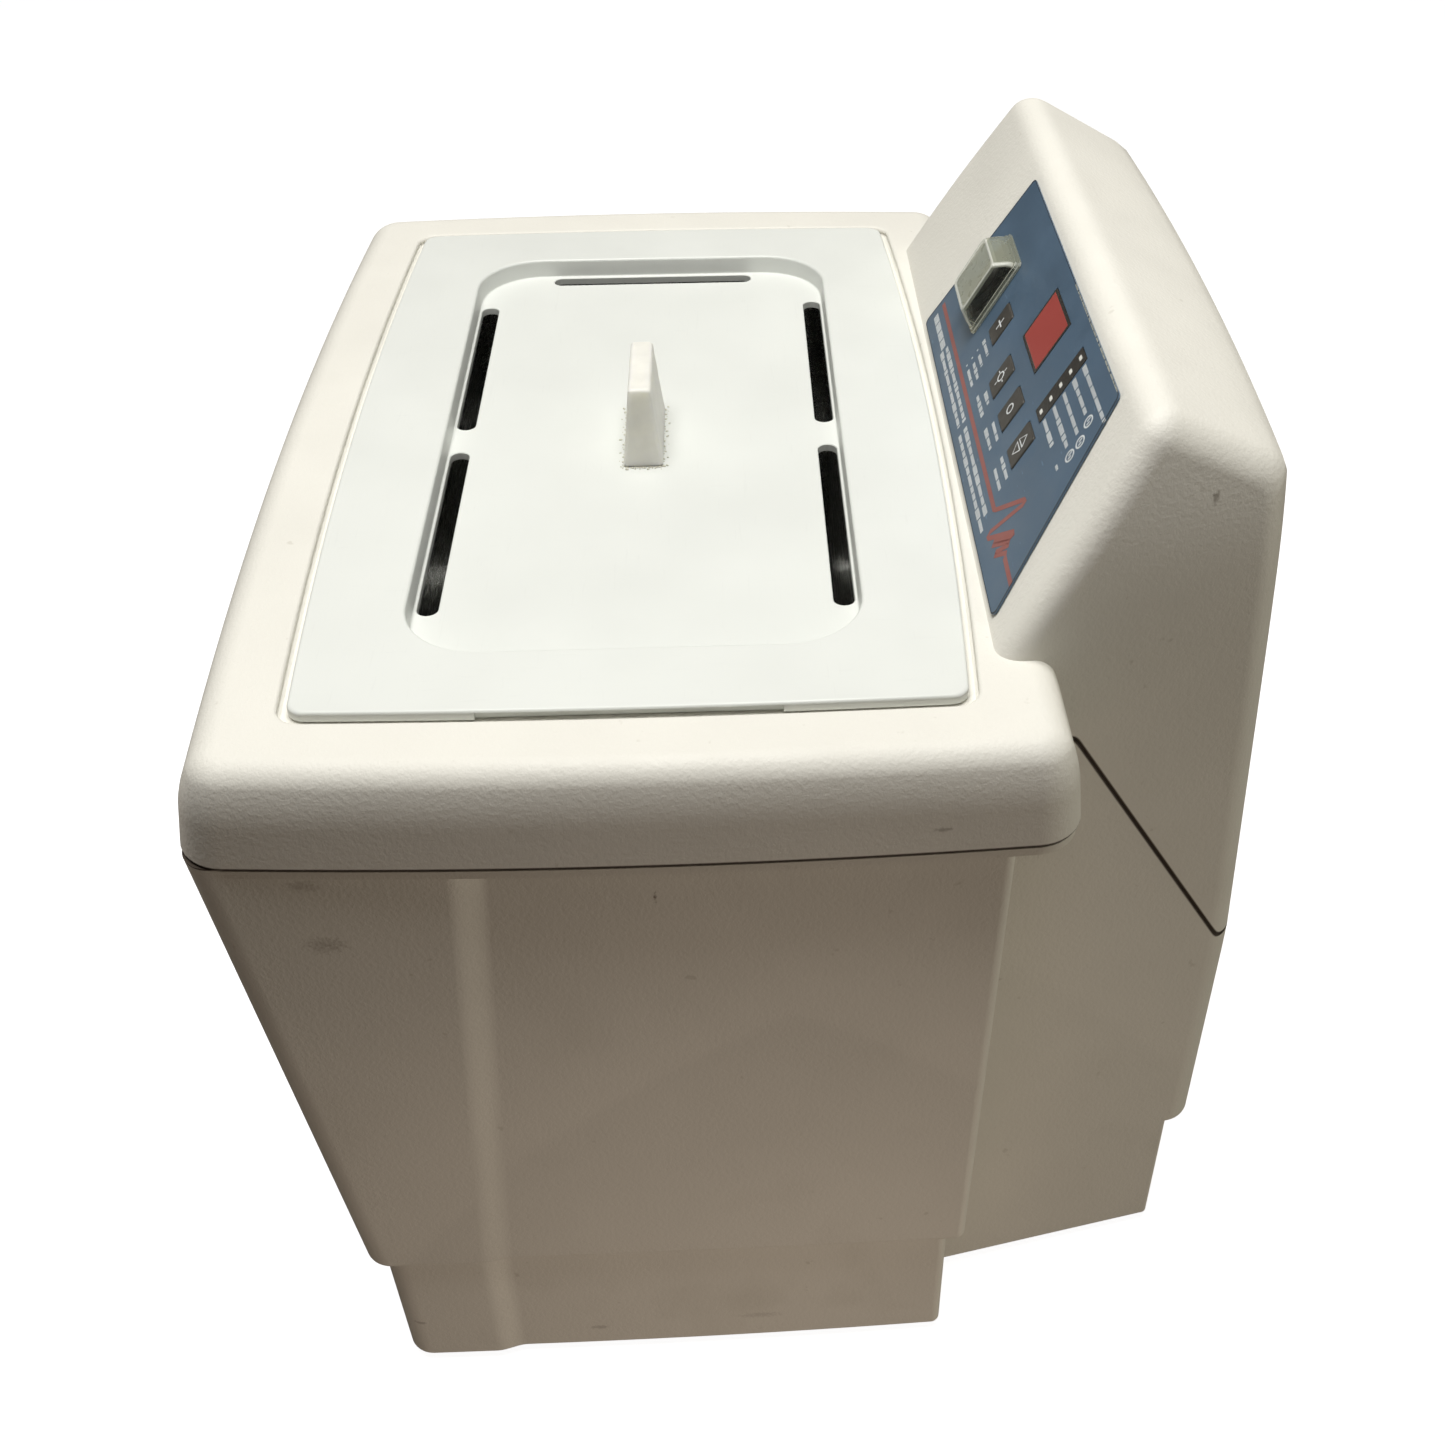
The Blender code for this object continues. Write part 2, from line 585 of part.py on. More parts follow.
# ---------------------------------------------------------------- tank and what is fixed to it
def tank():
    bends = [math.radians(angle) for angle in (0, 30, 60, 90)]
    floor = [(TANK_FILLET * (1 - math.sin(bend)), TANK_FLOOR + TANK_FILLET * (1 - math.cos(bend)))
             for bend in bends]

    def ring(inset, z, grow):
        reach = grow - inset
        corner = TANK_CORNER + grow - min(inset, 0.010)
        half_y = TANK_HALF_Y + reach
        return at_height(rounded_rect(TANK_HALF_X + reach, -half_y, half_y, corner, run=2), z)

    outside = [ring(inset, z - TANK_T, TANK_T) for inset, z in floor] + [ring(0, FLANGE_TOP, TANK_T)]
    shell = loft("tank", outside, STAINLESS)
    boolean(shell, prism("flange", flange_outline(FLANGE_W), FLANGE_TOP - TANK_T, FLANGE_TOP), "UNION")
    inside = [ring(inset, z, 0.0) for inset, z in floor] + [ring(0, FLANGE_TOP + 0.01, 0.0)]
    boolean(shell, loft("tank_inside", inside))
    boolean(shell, cylinder("drain_port", 0.0078, TANK_FLOOR - 0.02, TANK_FLOOR + 0.01, TANK_PORT,
                            segments=20))
    return shell


def flange_outline(width):
    half_y = TANK_HALF_Y + width
    return rounded_rect(TANK_HALF_X + width, -half_y, half_y, TANK_CORNER + width, run=2)


def tank_gasket():
    low = FLANGE_TOP + GAP
    gasket = prism("tank_gasket", flange_outline(FLANGE_W), low, low + GASKET_T, RUBBER)
    return boolean(gasket, prism("gasket_hole", flange_outline(0.004), 0.28, 0.34))


def transducers():
    """Bolted piezo stacks bonded under the tank."""
    tank_under = TANK_FLOOR - TANK_T - GAP
    for i, x in enumerate(TRANSDUCERS_X, 1):
        place = (x, 0.0, 0.0)
        top = tank_under
        bore = 0.0043
        front = [(0, top), (0.022, top), (0.018, top - 0.020), (bore, top - 0.020), (bore, top - 0.008),
                 (0, top - 0.008)]
        turned(f"transducer_{i}_front_mass", front, ALUMINIUM, place, closed=False)
        top -= 0.020 + GAP
        rings = [(bore, top), (0.018, top), (0.018, top - 0.012), (bore, top - 0.012)]
        turned(f"transducer_{i}_piezo_stack", rings, CERAMIC, place)
        top -= 0.012 + GAP
        rear = [(bore, top), (0.018, top), (0.018, top - 0.022), (bore, top - 0.022)]
        turned(f"transducer_{i}_rear_mass", rear, STEEL, place)
        top -= 0.022 + GAP
        bolt = cylinder(f"transducer_{i}_bolt", 0.0075, top - 0.007, top, (x, 0.0), STEEL, segments=6)
        shank = cylinder(f"bolt_shank_{i}", 0.0040, top - 0.003, tank_under - 0.0085, (x, 0.0), segments=20)
        boolean(bolt, shank, "UNION")


def heater_pads():
    for name, side in (("heater_pad_front", -1), ("heater_pad_rear", 1)):
        y0, y1 = sorted((side * (TANK_HALF_Y + TANK_T + GAP), side * (TANK_HALF_Y + TANK_T + GAP + 0.0020)))
        block(name, (-0.100, y0, 0.180), (0.100, y1, 0.235), HEATER)


def temperature_sensor():
    x0 = TANK_HALF_X + TANK_T + GAP
    block("temperature_sensor", (x0, -0.008, 0.200), (x0 + 0.006, 0.008, 0.214), BRASS, bevel=0.001)


def tank_clips():
    top = FLANGE_TOP - TANK_T - GAP
    for i, (x, side) in enumerate(((-0.110, -1), (0.110, -1), (-0.110, 1), (0.110, 1)), 1):
        y0, y1 = sorted((side * 0.0815, side * 0.1000))
        clip = block(f"tank_clip_{i}", (x - 0.008, y0, top - 0.0020), (x + 0.008, y1, top), STEEL)
        boolean(clip, cylinder(f"clip_screw_{i}", 0.0032, top - 0.0050, top - 0.0010, (x, side * 0.0940),
                               segments=12), "UNION")


# ---------------------------------------------------------------- drain
def drain():
    under = TANK_FLOOR - TANK_T
    port = TANK_PORT
    turned("drain_fitting", [(0.0045, under + 0.0030), (0.0115, under + 0.0030), (0.0115, under + 0.0013),
                             (0.0074, under + 0.0013), (0.0074, under - 0.0030), (0.0070, under - 0.0240),
                             (0.0045, under - 0.0240)], STAINLESS, (*port, 0))
    nut = cylinder("drain_nut", 0.0130, under - 0.0065, under - GAP, port, STAINLESS, segments=6)
    boolean(nut, cylinder("nut_bore", 0.0078, under - 0.01, under + 0.01, port))
    start = under - 0.0245
    route = [(port[0], port[1], start), (port[0], port[1], start - 0.010), (-0.109, 0.006, start - 0.019),
             (-0.124, 0.022, DRAIN_Z - 0.004), (-0.146, 0.050, DRAIN_Z), (-0.162, 0.070, DRAIN_Z),
             (DRAIN_X, 0.083, DRAIN_Z), (DRAIN_X, 0.094, DRAIN_Z), (DRAIN_X, 0.0985, DRAIN_Z)]
    curve = bpy.data.curves.new("drain_tube", "CURVE")
    curve.dimensions = "3D"
    curve.bevel_depth = 0.0070
    curve.bevel_resolution = 3
    curve.use_fill_caps = True
    spline = curve.splines.new("POLY")
    spline.points.add(len(route) - 1)
    for point, place in zip(spline.points, route):
        point.co = (*place, 1)
    tube = bpy.data.objects.new("drain_tube", curve)
    curve.materials.append(TUBING)
    tube.parent = origin
    parts.objects.link(tube)

    wall_inside = DRAIN_WALL_Y - WALL - GAP
    axis = (DRAIN_X, DRAIN_Z)
    wall_nut = cylinder("drain_wall_nut", 0.0125, wall_inside - 0.0050, wall_inside, axis, BRASS, segments=6,
                        axis="Y")
    boolean(wall_nut, cylinder("wall_nut_bore", 0.0079, 0.09, 0.12, axis, axis="Y"))
    body = cylinder("drain_valve_body", 0.0075, 0.0990, 0.1180, axis, BRASS, segments=24, axis="Y")
    boolean(body, cylinder("valve_hex", 0.0135, 0.1126, 0.1390, axis, segments=8, axis="Y"), "UNION")
    boolean(body, cylinder("valve_tail", 0.0065, 0.1380, 0.1600, axis, segments=24, axis="Y"), "UNION")
    boolean(body, cylinder("valve_bore", 0.0040, 0.1300, 0.1700, axis, segments=20, axis="Y"))
    pivot = (LEVER_Y, DRAIN_Z)
    boolean(body, cylinder("valve_neck", 0.0055, -0.1860, -0.1750, pivot, segments=20, axis="X"), "UNION")
    lever = cylinder("drain_lever", 0.0060, -0.1920, -0.1863, pivot, BLACK, segments=20, axis="X")
    handle = block("lever_bar", (-0.1905, LEVER_Y - 0.0045, DRAIN_Z - 0.034),
                   (-0.1875, LEVER_Y + 0.0045, DRAIN_Z + 0.002), bevel=0.001)
    boolean(lever, handle, "UNION")


# ---------------------------------------------------------------- base, feet and mains side
def base_plate():
    plate = prism("base_plate", plinth_outline(BASE_Z, WALL + 2 * GAP), BASE_Z, BASE_Z + BASE_T, STEEL)
    posts = [cylinder(f"board_post_{i}", 0.0030, BASE_Z + 0.001, BOARD_Z - GAP, place, segments=8)
             for i, place in enumerate(((-0.100, 0.127), (0.090, 0.127), (-0.100, 0.183), (0.090, 0.183)), 1)]
    back = plinth_rear(WALL + 2 * GAP, BASE_Z, BASE_Z + BASE_T)
    boolean(plate, loft("base_plate_back", back), "UNION")
    united(plate, posts)
    for i, (x, y) in enumerate(BOSSES, 1):
        boolean(plate, cylinder(f"plate_hole_{i}", 0.0020, 0, 0.02, (x, y), segments=12))
    return plate


def base_screws():
    for i, (x, y) in enumerate(BOSSES, 1):
        cylinder(f"base_screw_{i}", 0.0034, BASE_Z - GAP - 0.0022, BASE_Z - GAP, (x, y), STEEL, segments=12)


def feet():
    for place, (x, y) in FEET.items():
        cylinder(f"foot_{place}", 0.0110, 0.0, BASE_Z - GAP, (x, y), RUBBER, top_radius=0.0120, segments=28)


def electronics():
    block("generator_board", (-0.105, 0.122, BOARD_Z), (0.095, 0.188, BOARD_Z + BOARD_T), BOARD)
    top = BOARD_Z + BOARD_T + GAP
    core = block("transformer", (-0.092, 0.132, top), (-0.042, 0.178, top + 0.036), BLACK, bevel=0.002)
    boolean(core, block("winding", (-0.083, 0.126, top + 0.008), (-0.051, 0.184, top + 0.028)), "UNION")
    sink = block("heat_sink", (-0.020, 0.128, top), (0.040, 0.133, top + 0.040), ALUMINIUM)
    for i in range(6):
        x = -0.018 + i * 0.0104
        boolean(sink, block(f"fin_{i}", (x, 0.130, top + 0.0002), (x + 0.003, 0.150, top + 0.0398)), "UNION")
    for i, x in enumerate((0.058, 0.080), 1):
        cylinder(f"capacitor_{i}", 0.0095, top, top + 0.032, (x, 0.150), BLACK, segments=20)


def mains_inlet():
    seat = REAR_MOST - 0.0022 + GAP
    inlet = block("mains_inlet", (-0.0250, seat, INLET_Z - 0.0195), (0.0250, REAR_MOST, INLET_Z + 0.0195),
                  BLACK)
    boolean(inlet, block("inlet_body", (-0.0142, 0.183, INLET_Z - 0.0168),
                         (0.0142, REAR_MOST - 0.0005, INLET_Z + 0.0168)), "UNION")
    boolean(inlet, block("inlet_well", (-0.0115, 0.193, INLET_Z - 0.0135), (0.0115, 0.23, INLET_Z + 0.0045)))
    boolean(inlet, block("drawer_well", (-0.0105, 0.190, INLET_Z + 0.0065), (0.0105, 0.23, INLET_Z + 0.0145)))
    united(inlet, [block(f"pin_{i}", (x - 0.001, 0.190, INLET_Z + z - 0.002),
                         (x + 0.001, 0.208, INLET_Z + z + 0.002))
                   for i, (x, z) in enumerate(((-0.0070, -0.0070), (0.0, -0.0025), (0.0070, -0.0070)))])
    block("fuse_drawer", (-0.0102, 0.1905, INLET_Z + 0.0068), (0.0102, REAR_MOST, INLET_Z + 0.0142), BLACK)
    for i, x in enumerate((-0.0200, 0.0200)):
        boolean(inlet, cylinder(f"screw_hole_{i}", 0.0020, REAR_MOST - 0.001, 0.23, (x, INLET_Z), segments=12,
                                axis="Y"))


# ---------------------------------------------------------------- control panel, in the panel's own frame
def control_overlay():
    sheet = prism("control_overlay", OVERLAY_CORNERS, GAP, GAP + OVERLAY_T, OVERLAY, panel_frame)
    for i, (x, s) in enumerate(KEYS, 1):
        boolean(sheet, panel_cutter(f"overlay_key_{i}", x, s, KEY_W + 2 * GAP, KEY_H + 2 * GAP))
    for name, (x, s, width, height) in (("window", WINDOW), ("strip", STRIP)):
        boolean(sheet, panel_cutter(f"overlay_{name}", x, s, width + 2 * GAP, height + 2 * GAP))
    return boolean(sheet, panel_cutter("overlay_switch", *SWITCH, 0.0196, 0.0216))


def keys():
    for i, (x, s) in enumerate(KEYS, 1):
        low, high = (x - KEY_W / 2, s - KEY_H / 2, -0.0008), (x + KEY_W / 2, s + KEY_H / 2, 0.0013)
        key = block(f"key_{i}", low, high, KEYPAD, panel_frame)
        stem = cylinder(f"key_stem_{i}", 0.0018, -0.0078, -0.0005, (x, s), parent=panel_frame, segments=12)
        boolean(key, stem, "UNION")


def windows():
    for name, (x, s, width, height), mat in (("display_window", WINDOW, RED_WINDOW),
                                             ("indicator_window", STRIP, DARK_WINDOW)):
        low = (x - width / 2, s - height / 2, GAP)
        block(name, low, (x + width / 2, s + height / 2, GAP + OVERLAY_T + 0.0002), mat, panel_frame)
    x, s, _, height = STRIP
    bar = block("indicator_lamps", (x - 0.0022, s - 0.0118, -0.0102), (x + 0.0022, s + 0.0118, -0.0030), LED,
                panel_frame)
    united(bar, [cylinder(f"lamp_{i}", 0.0012, -0.0040, -GAP, (x, s + (i - 2) * LED_PITCH),
                          parent=panel_frame, segments=12) for i in range(5)])
    x, s, width, height = WINDOW
    block("display_module", (x - width / 2 + 0.0024, s - height / 2 + 0.0024, -0.0102),
          (x + width / 2 - 0.0024, s + height / 2 - 0.0024, -GAP), BLACK, panel_frame)


def control_board():
    board = block("control_board", (-0.012, 0.0220, -0.0124), (0.088, 0.0720, -0.0108), BOARD, panel_frame)
    united(board, [block(f"key_switch_{i}", (x - 0.003, s - 0.003, -0.0115), (x + 0.003, s + 0.003, -0.0086),
                         parent=panel_frame) for i, (x, s) in enumerate(KEYS)])


def boot_loft(name, rings, corner, mat, place):
    sections = []
    for half_x, half_s, z in rings:
        sections.append(at_height(rounded_rect(half_x, -half_s, half_s, corner, arc=2, run=1), z))
    return loft(name, sections, mat, panel_frame, place)


def rocker_switch():
    x, s = SWITCH
    low = GAP + OVERLAY_T + GAP
    body = block("switch_body", (x - 0.0108, s - 0.0123, low), (x + 0.0108, s + 0.0123, low + 0.0016), BLACK,
                 panel_frame, bevel=0.0004)
    boolean(body, block("switch_barrel", (x - 0.0095, s - 0.0105, -0.0180),
                        (x + 0.0095, s + 0.0105, low + 0.0010),
                        parent=panel_frame), "UNION")
    boolean(body, block("rocker_well", (x - 0.0078, s - 0.0095, -0.0080), (x + 0.0078, s + 0.0095, 0.02),
                        parent=panel_frame))
    outline = [(-0.0088, -0.0020), (0.0088, -0.0020), (0.0088, 0.0050), (0.0045, 0.0034), (0.0, 0.0030),
               (-0.0045, 0.0034), (-0.0088, 0.0050)]
    sections = [[(side * 0.0074, along, height) for along, height in outline] for side in (-1, 1)]
    rocker = loft("switch_rocker", sections, BLACK, panel_frame, (x, s, 0.0020))
    rocker.rotation_euler.x = -ROCKER_THROW / 2
    shell = [(0.0148, 0.0162, 0), (0.0148, 0.0162, 0.0012), (0.0132, 0.0148, 0.0016),
             (0.0128, 0.0142, 0.0045), (0.0122, 0.0104, 0.0088)]
    hollow = [(0.0111, 0.0126, -0.001), (0.0111, 0.0126, 0.0042), (0.0108, 0.0098, 0.0079)]
    boot = boot_loft("switch_boot", shell, 0.0020, SILICONE, (x, s, low))
    boolean(boot, boot_loft("boot_inside", hollow, 0.0005, None, (x, s, low)))


upper_housing()
lower_housing()
lid()
lid_handle()
tank()
tank_gasket()
transducers()
heater_pads()
temperature_sensor()
tank_clips()
drain()
base_plate()
base_screws()
feet()
electronics()
mains_inlet()
control_overlay()
keys()
windows()
control_board()
rocker_switch()
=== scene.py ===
"""Looks for the bench-top heated ultrasonic bath: detailed shells and trim, materials, light and camera.

Units are metres.  +X is the width, -Y the front, +Z up; the origin is the middle of the footprint on the
bench.  Lengths along Y that are named as in the housing's design count from the middle of the tank, and
Y_CENTRE moves them to the origin.
"""
import json
import math

import bmesh
import bpy
from mathutils import Matrix, Vector


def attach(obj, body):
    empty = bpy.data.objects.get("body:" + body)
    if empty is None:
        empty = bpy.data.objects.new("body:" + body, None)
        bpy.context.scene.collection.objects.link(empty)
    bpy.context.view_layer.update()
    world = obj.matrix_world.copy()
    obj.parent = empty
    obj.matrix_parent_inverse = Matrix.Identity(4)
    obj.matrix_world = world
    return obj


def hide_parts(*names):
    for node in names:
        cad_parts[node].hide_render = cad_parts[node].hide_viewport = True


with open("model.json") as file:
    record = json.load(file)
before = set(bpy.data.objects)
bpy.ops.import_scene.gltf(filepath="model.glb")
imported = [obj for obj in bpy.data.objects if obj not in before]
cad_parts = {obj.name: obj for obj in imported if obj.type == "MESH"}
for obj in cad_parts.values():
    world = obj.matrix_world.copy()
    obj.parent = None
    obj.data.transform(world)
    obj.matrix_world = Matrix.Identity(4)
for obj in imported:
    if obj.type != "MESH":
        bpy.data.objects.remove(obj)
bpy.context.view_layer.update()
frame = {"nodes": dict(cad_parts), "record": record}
nodes = frame["nodes"]

# ---- dimensions, as in the housing's design
Y_CENTRE = 0.03685
GAP = 0.0003
WALL = 0.004
FOOT_H = 0.004
PLINTH_TOP = 0.070
PARTING_Z = 0.2817
RIM_Z = 0.3153
RIM_HALF_X = 0.1955
RIM_FRONT = -0.1285
RIM_REAR = 0.1310
FRONT_FLARE = 0.0044
REAR_FLARE = 0.0022
RIM_BOW_X = 0.0045
RIM_BOW_FRONT = 0.0065
RIM_CORNER = 0.0140
RIM_ROUND = 0.0090               # the tight part of the rim's rounded edge
RIM_EASE = 0.0450                # the long, nearly upright part below it
RIM_DRAFT = 0.0012
LIP_H = 0.0050
PILASTER_X = (0.1887, 0.1953)
SIDE_WALL_X = (0.1870, 0.1917)
SIDE_DRAW_IN = 0.0019
SKIRT_FRONT = (-0.1132, -0.1326)
SKIRT_REAR = (0.1116, 0.1143)
STEP_Y = (-0.0640, -0.0490)
BODY_CORNER = 0.0100
PLINTH_PILASTER_X = 0.1862
PLINTH_SIDE_X = 0.1838
PLINTH_DRAW_IN = 0.0034
PLINTH_FRONT = (-0.1060, -0.1078)
PLINTH_REAR = 0.1058
PLINTH_STEP_Y = -0.0650

LID_HALF_X = 0.1675
LID_HALF_Y = 0.0997
LID_BOW_X = 0.0017
LID_BOW_Y = 0.0054
LID_TOP = 0.3164
LID_T = 0.0038
LID_GAP = 0.0028
PAN_HALF_X = 0.1395
PAN_HALF_Y = 0.0717
PAN_CORNER = 0.0250
PAN_FLOOR = 0.3090
PAN_T = 0.0028
FINGER_HALF_Y = 0.0450
SLOT_Y = 0.0668
SLOT_W = 0.0070
SLOT_X0 = 0.0082
SLOT_X1 = 0.1102
END_SLOT_X = 0.1340
END_SLOT_HALF_Y = 0.0420
TANK_HALF_X = 0.1460
TANK_HALF_Y = 0.0760
TANK_CORNER = 0.0280
TANK_DEPTH = 0.1520
TANK_T = 0.0010
TANK_FILLET = 0.0140
TANK_PORT = (-0.105, 0.0)
FLANGE_W = 0.0120
LEDGE_T = 0.0035
GASKET_T = 0.0012
LEDGE_TOP = LID_TOP - LID_T - GAP
FLANGE_TOP = LEDGE_TOP - LEDGE_T - GAP - GASKET_T - GAP
TANK_FLOOR = FLANGE_TOP - TANK_DEPTH

FACE_BASE_Y = 0.1098
FACE_ANGLE = math.radians(60)
APEX = (0.1529, 0.3898)
REAR_TOP = (0.1960, 0.3670)
REAR_Y = 0.2091
REAR_KINK_Z = 0.1700
REAR_BOW = 0.0040
REAR_STEP = 0.0100
REAR_MOST = REAR_Y + REAR_BOW
REAR_BODY_FRONT = 0.0980
SIDE_X = 0.1505
SIDE_Y = 0.1134
SIDE_TAPER = 0.2158
SIDE_DRAFT = -0.0060
SIDE_FOLD_Z = 0.3490
SIDE_LEAN = 0.24
FACE_FOOT_DROP = 0.0256
SIDE_ROUND = 0.0090              # where the rear body's face, top and back meet its sides
TOP_ROUND = 0.0095
PARTING_TURN_Y = 0.1375
PARTING_REAR_Y = 0.2035
PARTING_REAR_Z = 0.1725

OVERLAY_T = 0.0006
OVERLAY_CORNERS = [(-0.0698, 0.0030), (0.1325, 0.0030), (0.1088, 0.0757), (-0.0568, 0.0757)]
KEY_W = 0.0115
KEY_H = 0.0130
KEYS = [(-0.0015, 0.0400), (0.0273, 0.0336), (0.0500, 0.0336), (0.0735, 0.0334)]
WINDOW = (0.0353, 0.0579, 0.0271, 0.0204)
STRIP = (0.0711, 0.0565, 0.0080, 0.0257)
LED_PITCH = 0.0054
SWITCH = (-0.0305, 0.0418)
SWITCH_HOLE = (0.0196, 0.0216)
KEY_PLAY = 0.0012                # the keys' pockets are this much larger than the keys
KEY_TOP = 0.0013
STEM_RADIUS = 0.0018
STEM_HOLE_RADIUS = 0.0023
ROCKER_THROW = math.radians(14)
BASE_Z = 0.0085
FEET = {"front_left": (-0.150, -0.079), "front_right": (0.150, -0.079),
        "rear_left": (-0.105, 0.168), "rear_right": (0.105, 0.168)}
INLET_Z = 0.1250
INLET_RECESS = 0.0022
DRAIN_X = -0.1660
DRAIN_Z = 0.1050
LEVER_Y = 0.1260
SHARP = 35                       # edges of cut pieces that turn more than this, in degrees, stay sharp

TO_ORIGIN = Matrix.Translation((0, -Y_CENTRE, 0))
PANEL = TO_ORIGIN @ Matrix.Translation((0, FACE_BASE_Y, RIM_Z)) @ Matrix.Rotation(FACE_ANGLE, 4, "X")
scene = bpy.context.scene


# ---- mesh helpers
def at_design(x, y, z):
    """The place of a point given from the middle of the tank."""
    return TO_ORIGIN @ Matrix.Translation((x, y, z))


def panel_place(x, s):
    return PANEL @ Matrix.Translation((x, s, 0))


def mesh_object(name, bm, place=TO_ORIGIN):
    bmesh.ops.recalc_face_normals(bm, faces=bm.faces)
    mesh = bpy.data.meshes.new(name)
    bm.to_mesh(mesh)
    bm.free()
    mesh.transform(place)
    obj = bpy.data.objects.new(name, mesh)
    scene.collection.objects.link(obj)
    return shade(obj)


def shade(obj, sharp=40):
    obj.data.shade_smooth()
    obj.data.set_sharp_from_angle(angle=math.radians(sharp))
    return obj


def skin(bm, low, high):
    """Faces between two rings of the same count."""
    for i in range(len(low)):
        j = (i + 1) % len(low)
        bm.faces.new((low[i], low[j], high[j], high[i]))


def loft(name, sections, place=TO_ORIGIN, ring_closed=False):
    """A solid through rings of points; with ring_closed the last ring joins the first, as in a torus."""
    bm = bmesh.new()
    rings = [[bm.verts.new(point) for point in section] for section in sections]
    for low, high in zip(rings, rings[1:]):
        skin(bm, low, high)
    if ring_closed:
        skin(bm, rings[-1], rings[0])
    else:
        bm.faces.new(rings[0])
        bm.faces.new(rings[-1])
    return mesh_object(name, bm, place)


def prism(name, outline, z0, z1, place):
    return loft(name, [at_height(outline, z0), at_height(outline, z1)], place)


def block(name, low, high, place=TO_ORIGIN, bevel=0.0):
    bm = bmesh.new()
    bmesh.ops.create_cube(bm, size=1)
    low, high = Vector(low), Vector(high)
    bmesh.ops.scale(bm, vec=high - low, verts=bm.verts)
    if bevel:
        bmesh.ops.bevel(bm, geom=bm.edges[:], offset=bevel, segments=3, affect="EDGES", profile=0.5)
    bmesh.ops.translate(bm, vec=(low + high) / 2, verts=bm.verts)
    return mesh_object(name, bm, place)


def turned(name, profile, place, steps=48):
    """A turned solid about Z from (radius, height) points; the ends may lie on the axis."""
    bm = bmesh.new()
    rings = []
    for radius, height in profile:
        if radius < 1e-7:
            rings.append([bm.verts.new((0, 0, height))])
            continue
        angles = [2 * math.pi * i / steps for i in range(steps)]
        rings.append([bm.verts.new((radius * math.cos(a), radius * math.sin(a), height)) for a in angles])
    pairs = list(zip(rings, rings[1:]))
    if len(rings[0]) > 1:
        pairs.append((rings[-1], rings[0]))
    for low, high in pairs:
        for i in range(steps):
            j = (i + 1) % steps
            corners = [low[i % len(low)], low[j % len(low)], high[j % len(high)], high[i % len(high)]]
            corners = list(dict.fromkeys(corners))
            if len(corners) > 2:
                bm.faces.new(corners)
    return mesh_object(name, bm, place)


def cylinder(radius, z0, z1, place, steps=48):
    return turned("cut", [(0, z0), (radius, z0), (radius, z1), (0, z1)], place, steps)


def apply_modifiers(obj):
    bpy.context.view_layer.update()
    evaluated = obj.evaluated_get(bpy.context.evaluated_depsgraph_get())
    mesh = bpy.data.meshes.new_from_object(evaluated)
    obj.modifiers.clear()
    obj.data = mesh
    return obj


def boolean(obj, tool, operation="DIFFERENCE"):
    """Cut or join at once; the tool is used up."""
    modifier = obj.modifiers.new("boolean", "BOOLEAN")
    modifier.operation = operation
    modifier.solver = "EXACT"
    modifier.object = tool
    apply_modifiers(obj)
    bpy.data.objects.remove(tool)
    return obj


def join(obj, tool):
    return boolean(obj, tool, "UNION")


def round_edges(obj, width, segments, angle):
    modifier = obj.modifiers.new("round", "BEVEL")
    modifier.width = width
    modifier.segments = segments
    modifier.limit_method = "ANGLE"
    modifier.angle_limit = math.radians(angle)
    modifier.harden_normals = False
    return apply_modifiers(obj)


def bevel_where(obj, test, width):
    """Round only the edges that test accepts."""
    bm = bmesh.new()
    bm.from_mesh(obj.data)
    bmesh.ops.dissolve_degenerate(bm, dist=1e-6, edges=bm.edges)
    chosen = [edge for edge in bm.edges if len(edge.link_faces) == 2 and test(edge)]
    bmesh.ops.bevel(bm, geom=chosen, offset=width, segments=2, affect="EDGES", profile=0.5,
                    clamp_overlap=True)
    bm.to_mesh(obj.data)
    bm.free()
    return shade(obj)


# ---- outlines
def between(a, b, count):
    return [(a[0] + (b[0] - a[0]) * i / count, a[1] + (b[1] - a[1]) * i / count) for i in range(1, count)]


def at_height(outline, z):
    return [(x, y, z) for x, y in outline]


def rounded_rect(half_x, y0, y1, radius, bow_x=0.0, bow_front=0.0, bow_rear=0.0, arc=10, run=20):
    """A rectangle with round corners whose edges bow outwards, as (x, y) points."""
    middle, half_y = (y0 + y1) / 2, (y1 - y0) / 2
    points = []
    for x, y, start in [(half_x, y0, -90), (half_x, y1, 0), (-half_x, y1, 90), (-half_x, y0, 180)]:
        centre = (x - math.copysign(radius, x), y - math.copysign(radius, y - middle))
        angles = [math.radians(start + 90 * i / arc) for i in range(arc + 1)]
        arc_points = [(centre[0] + radius * math.cos(a), centre[1] + radius * math.sin(a)) for a in angles]
        if points:
            points += between(points[-1], arc_points[0], run)
        points += arc_points
    points += between(points[-1], points[0], run)
    bowed = []
    for x, y in points:
        u, v = x / half_x, (y - middle) / half_y
        bow_y = bow_rear if v > 0 else bow_front
        bowed.append((x + bow_x * u * (1 - v * v), y + bow_y * v * (1 - u * u)))
    return bowed


def rect_ring(half_x, half_y, corner, z, arc=4, run=3):
    """A centred rectangle with round corners, as a ring at a height."""
    return at_height(rounded_rect(half_x, -half_y, half_y, corner, arc=arc, run=run), z)


def stadium(length, width):
    radius, reach = width / 2, length / 2 - width / 2
    steps = 12
    points = []
    for side, start in ((1, -90), (-1, 90)):
        for i in range(steps + 1):
            angle = math.radians(start + 180 * i / steps)
            points.append((side * reach + radius * math.cos(angle), radius * math.sin(angle)))
    return points


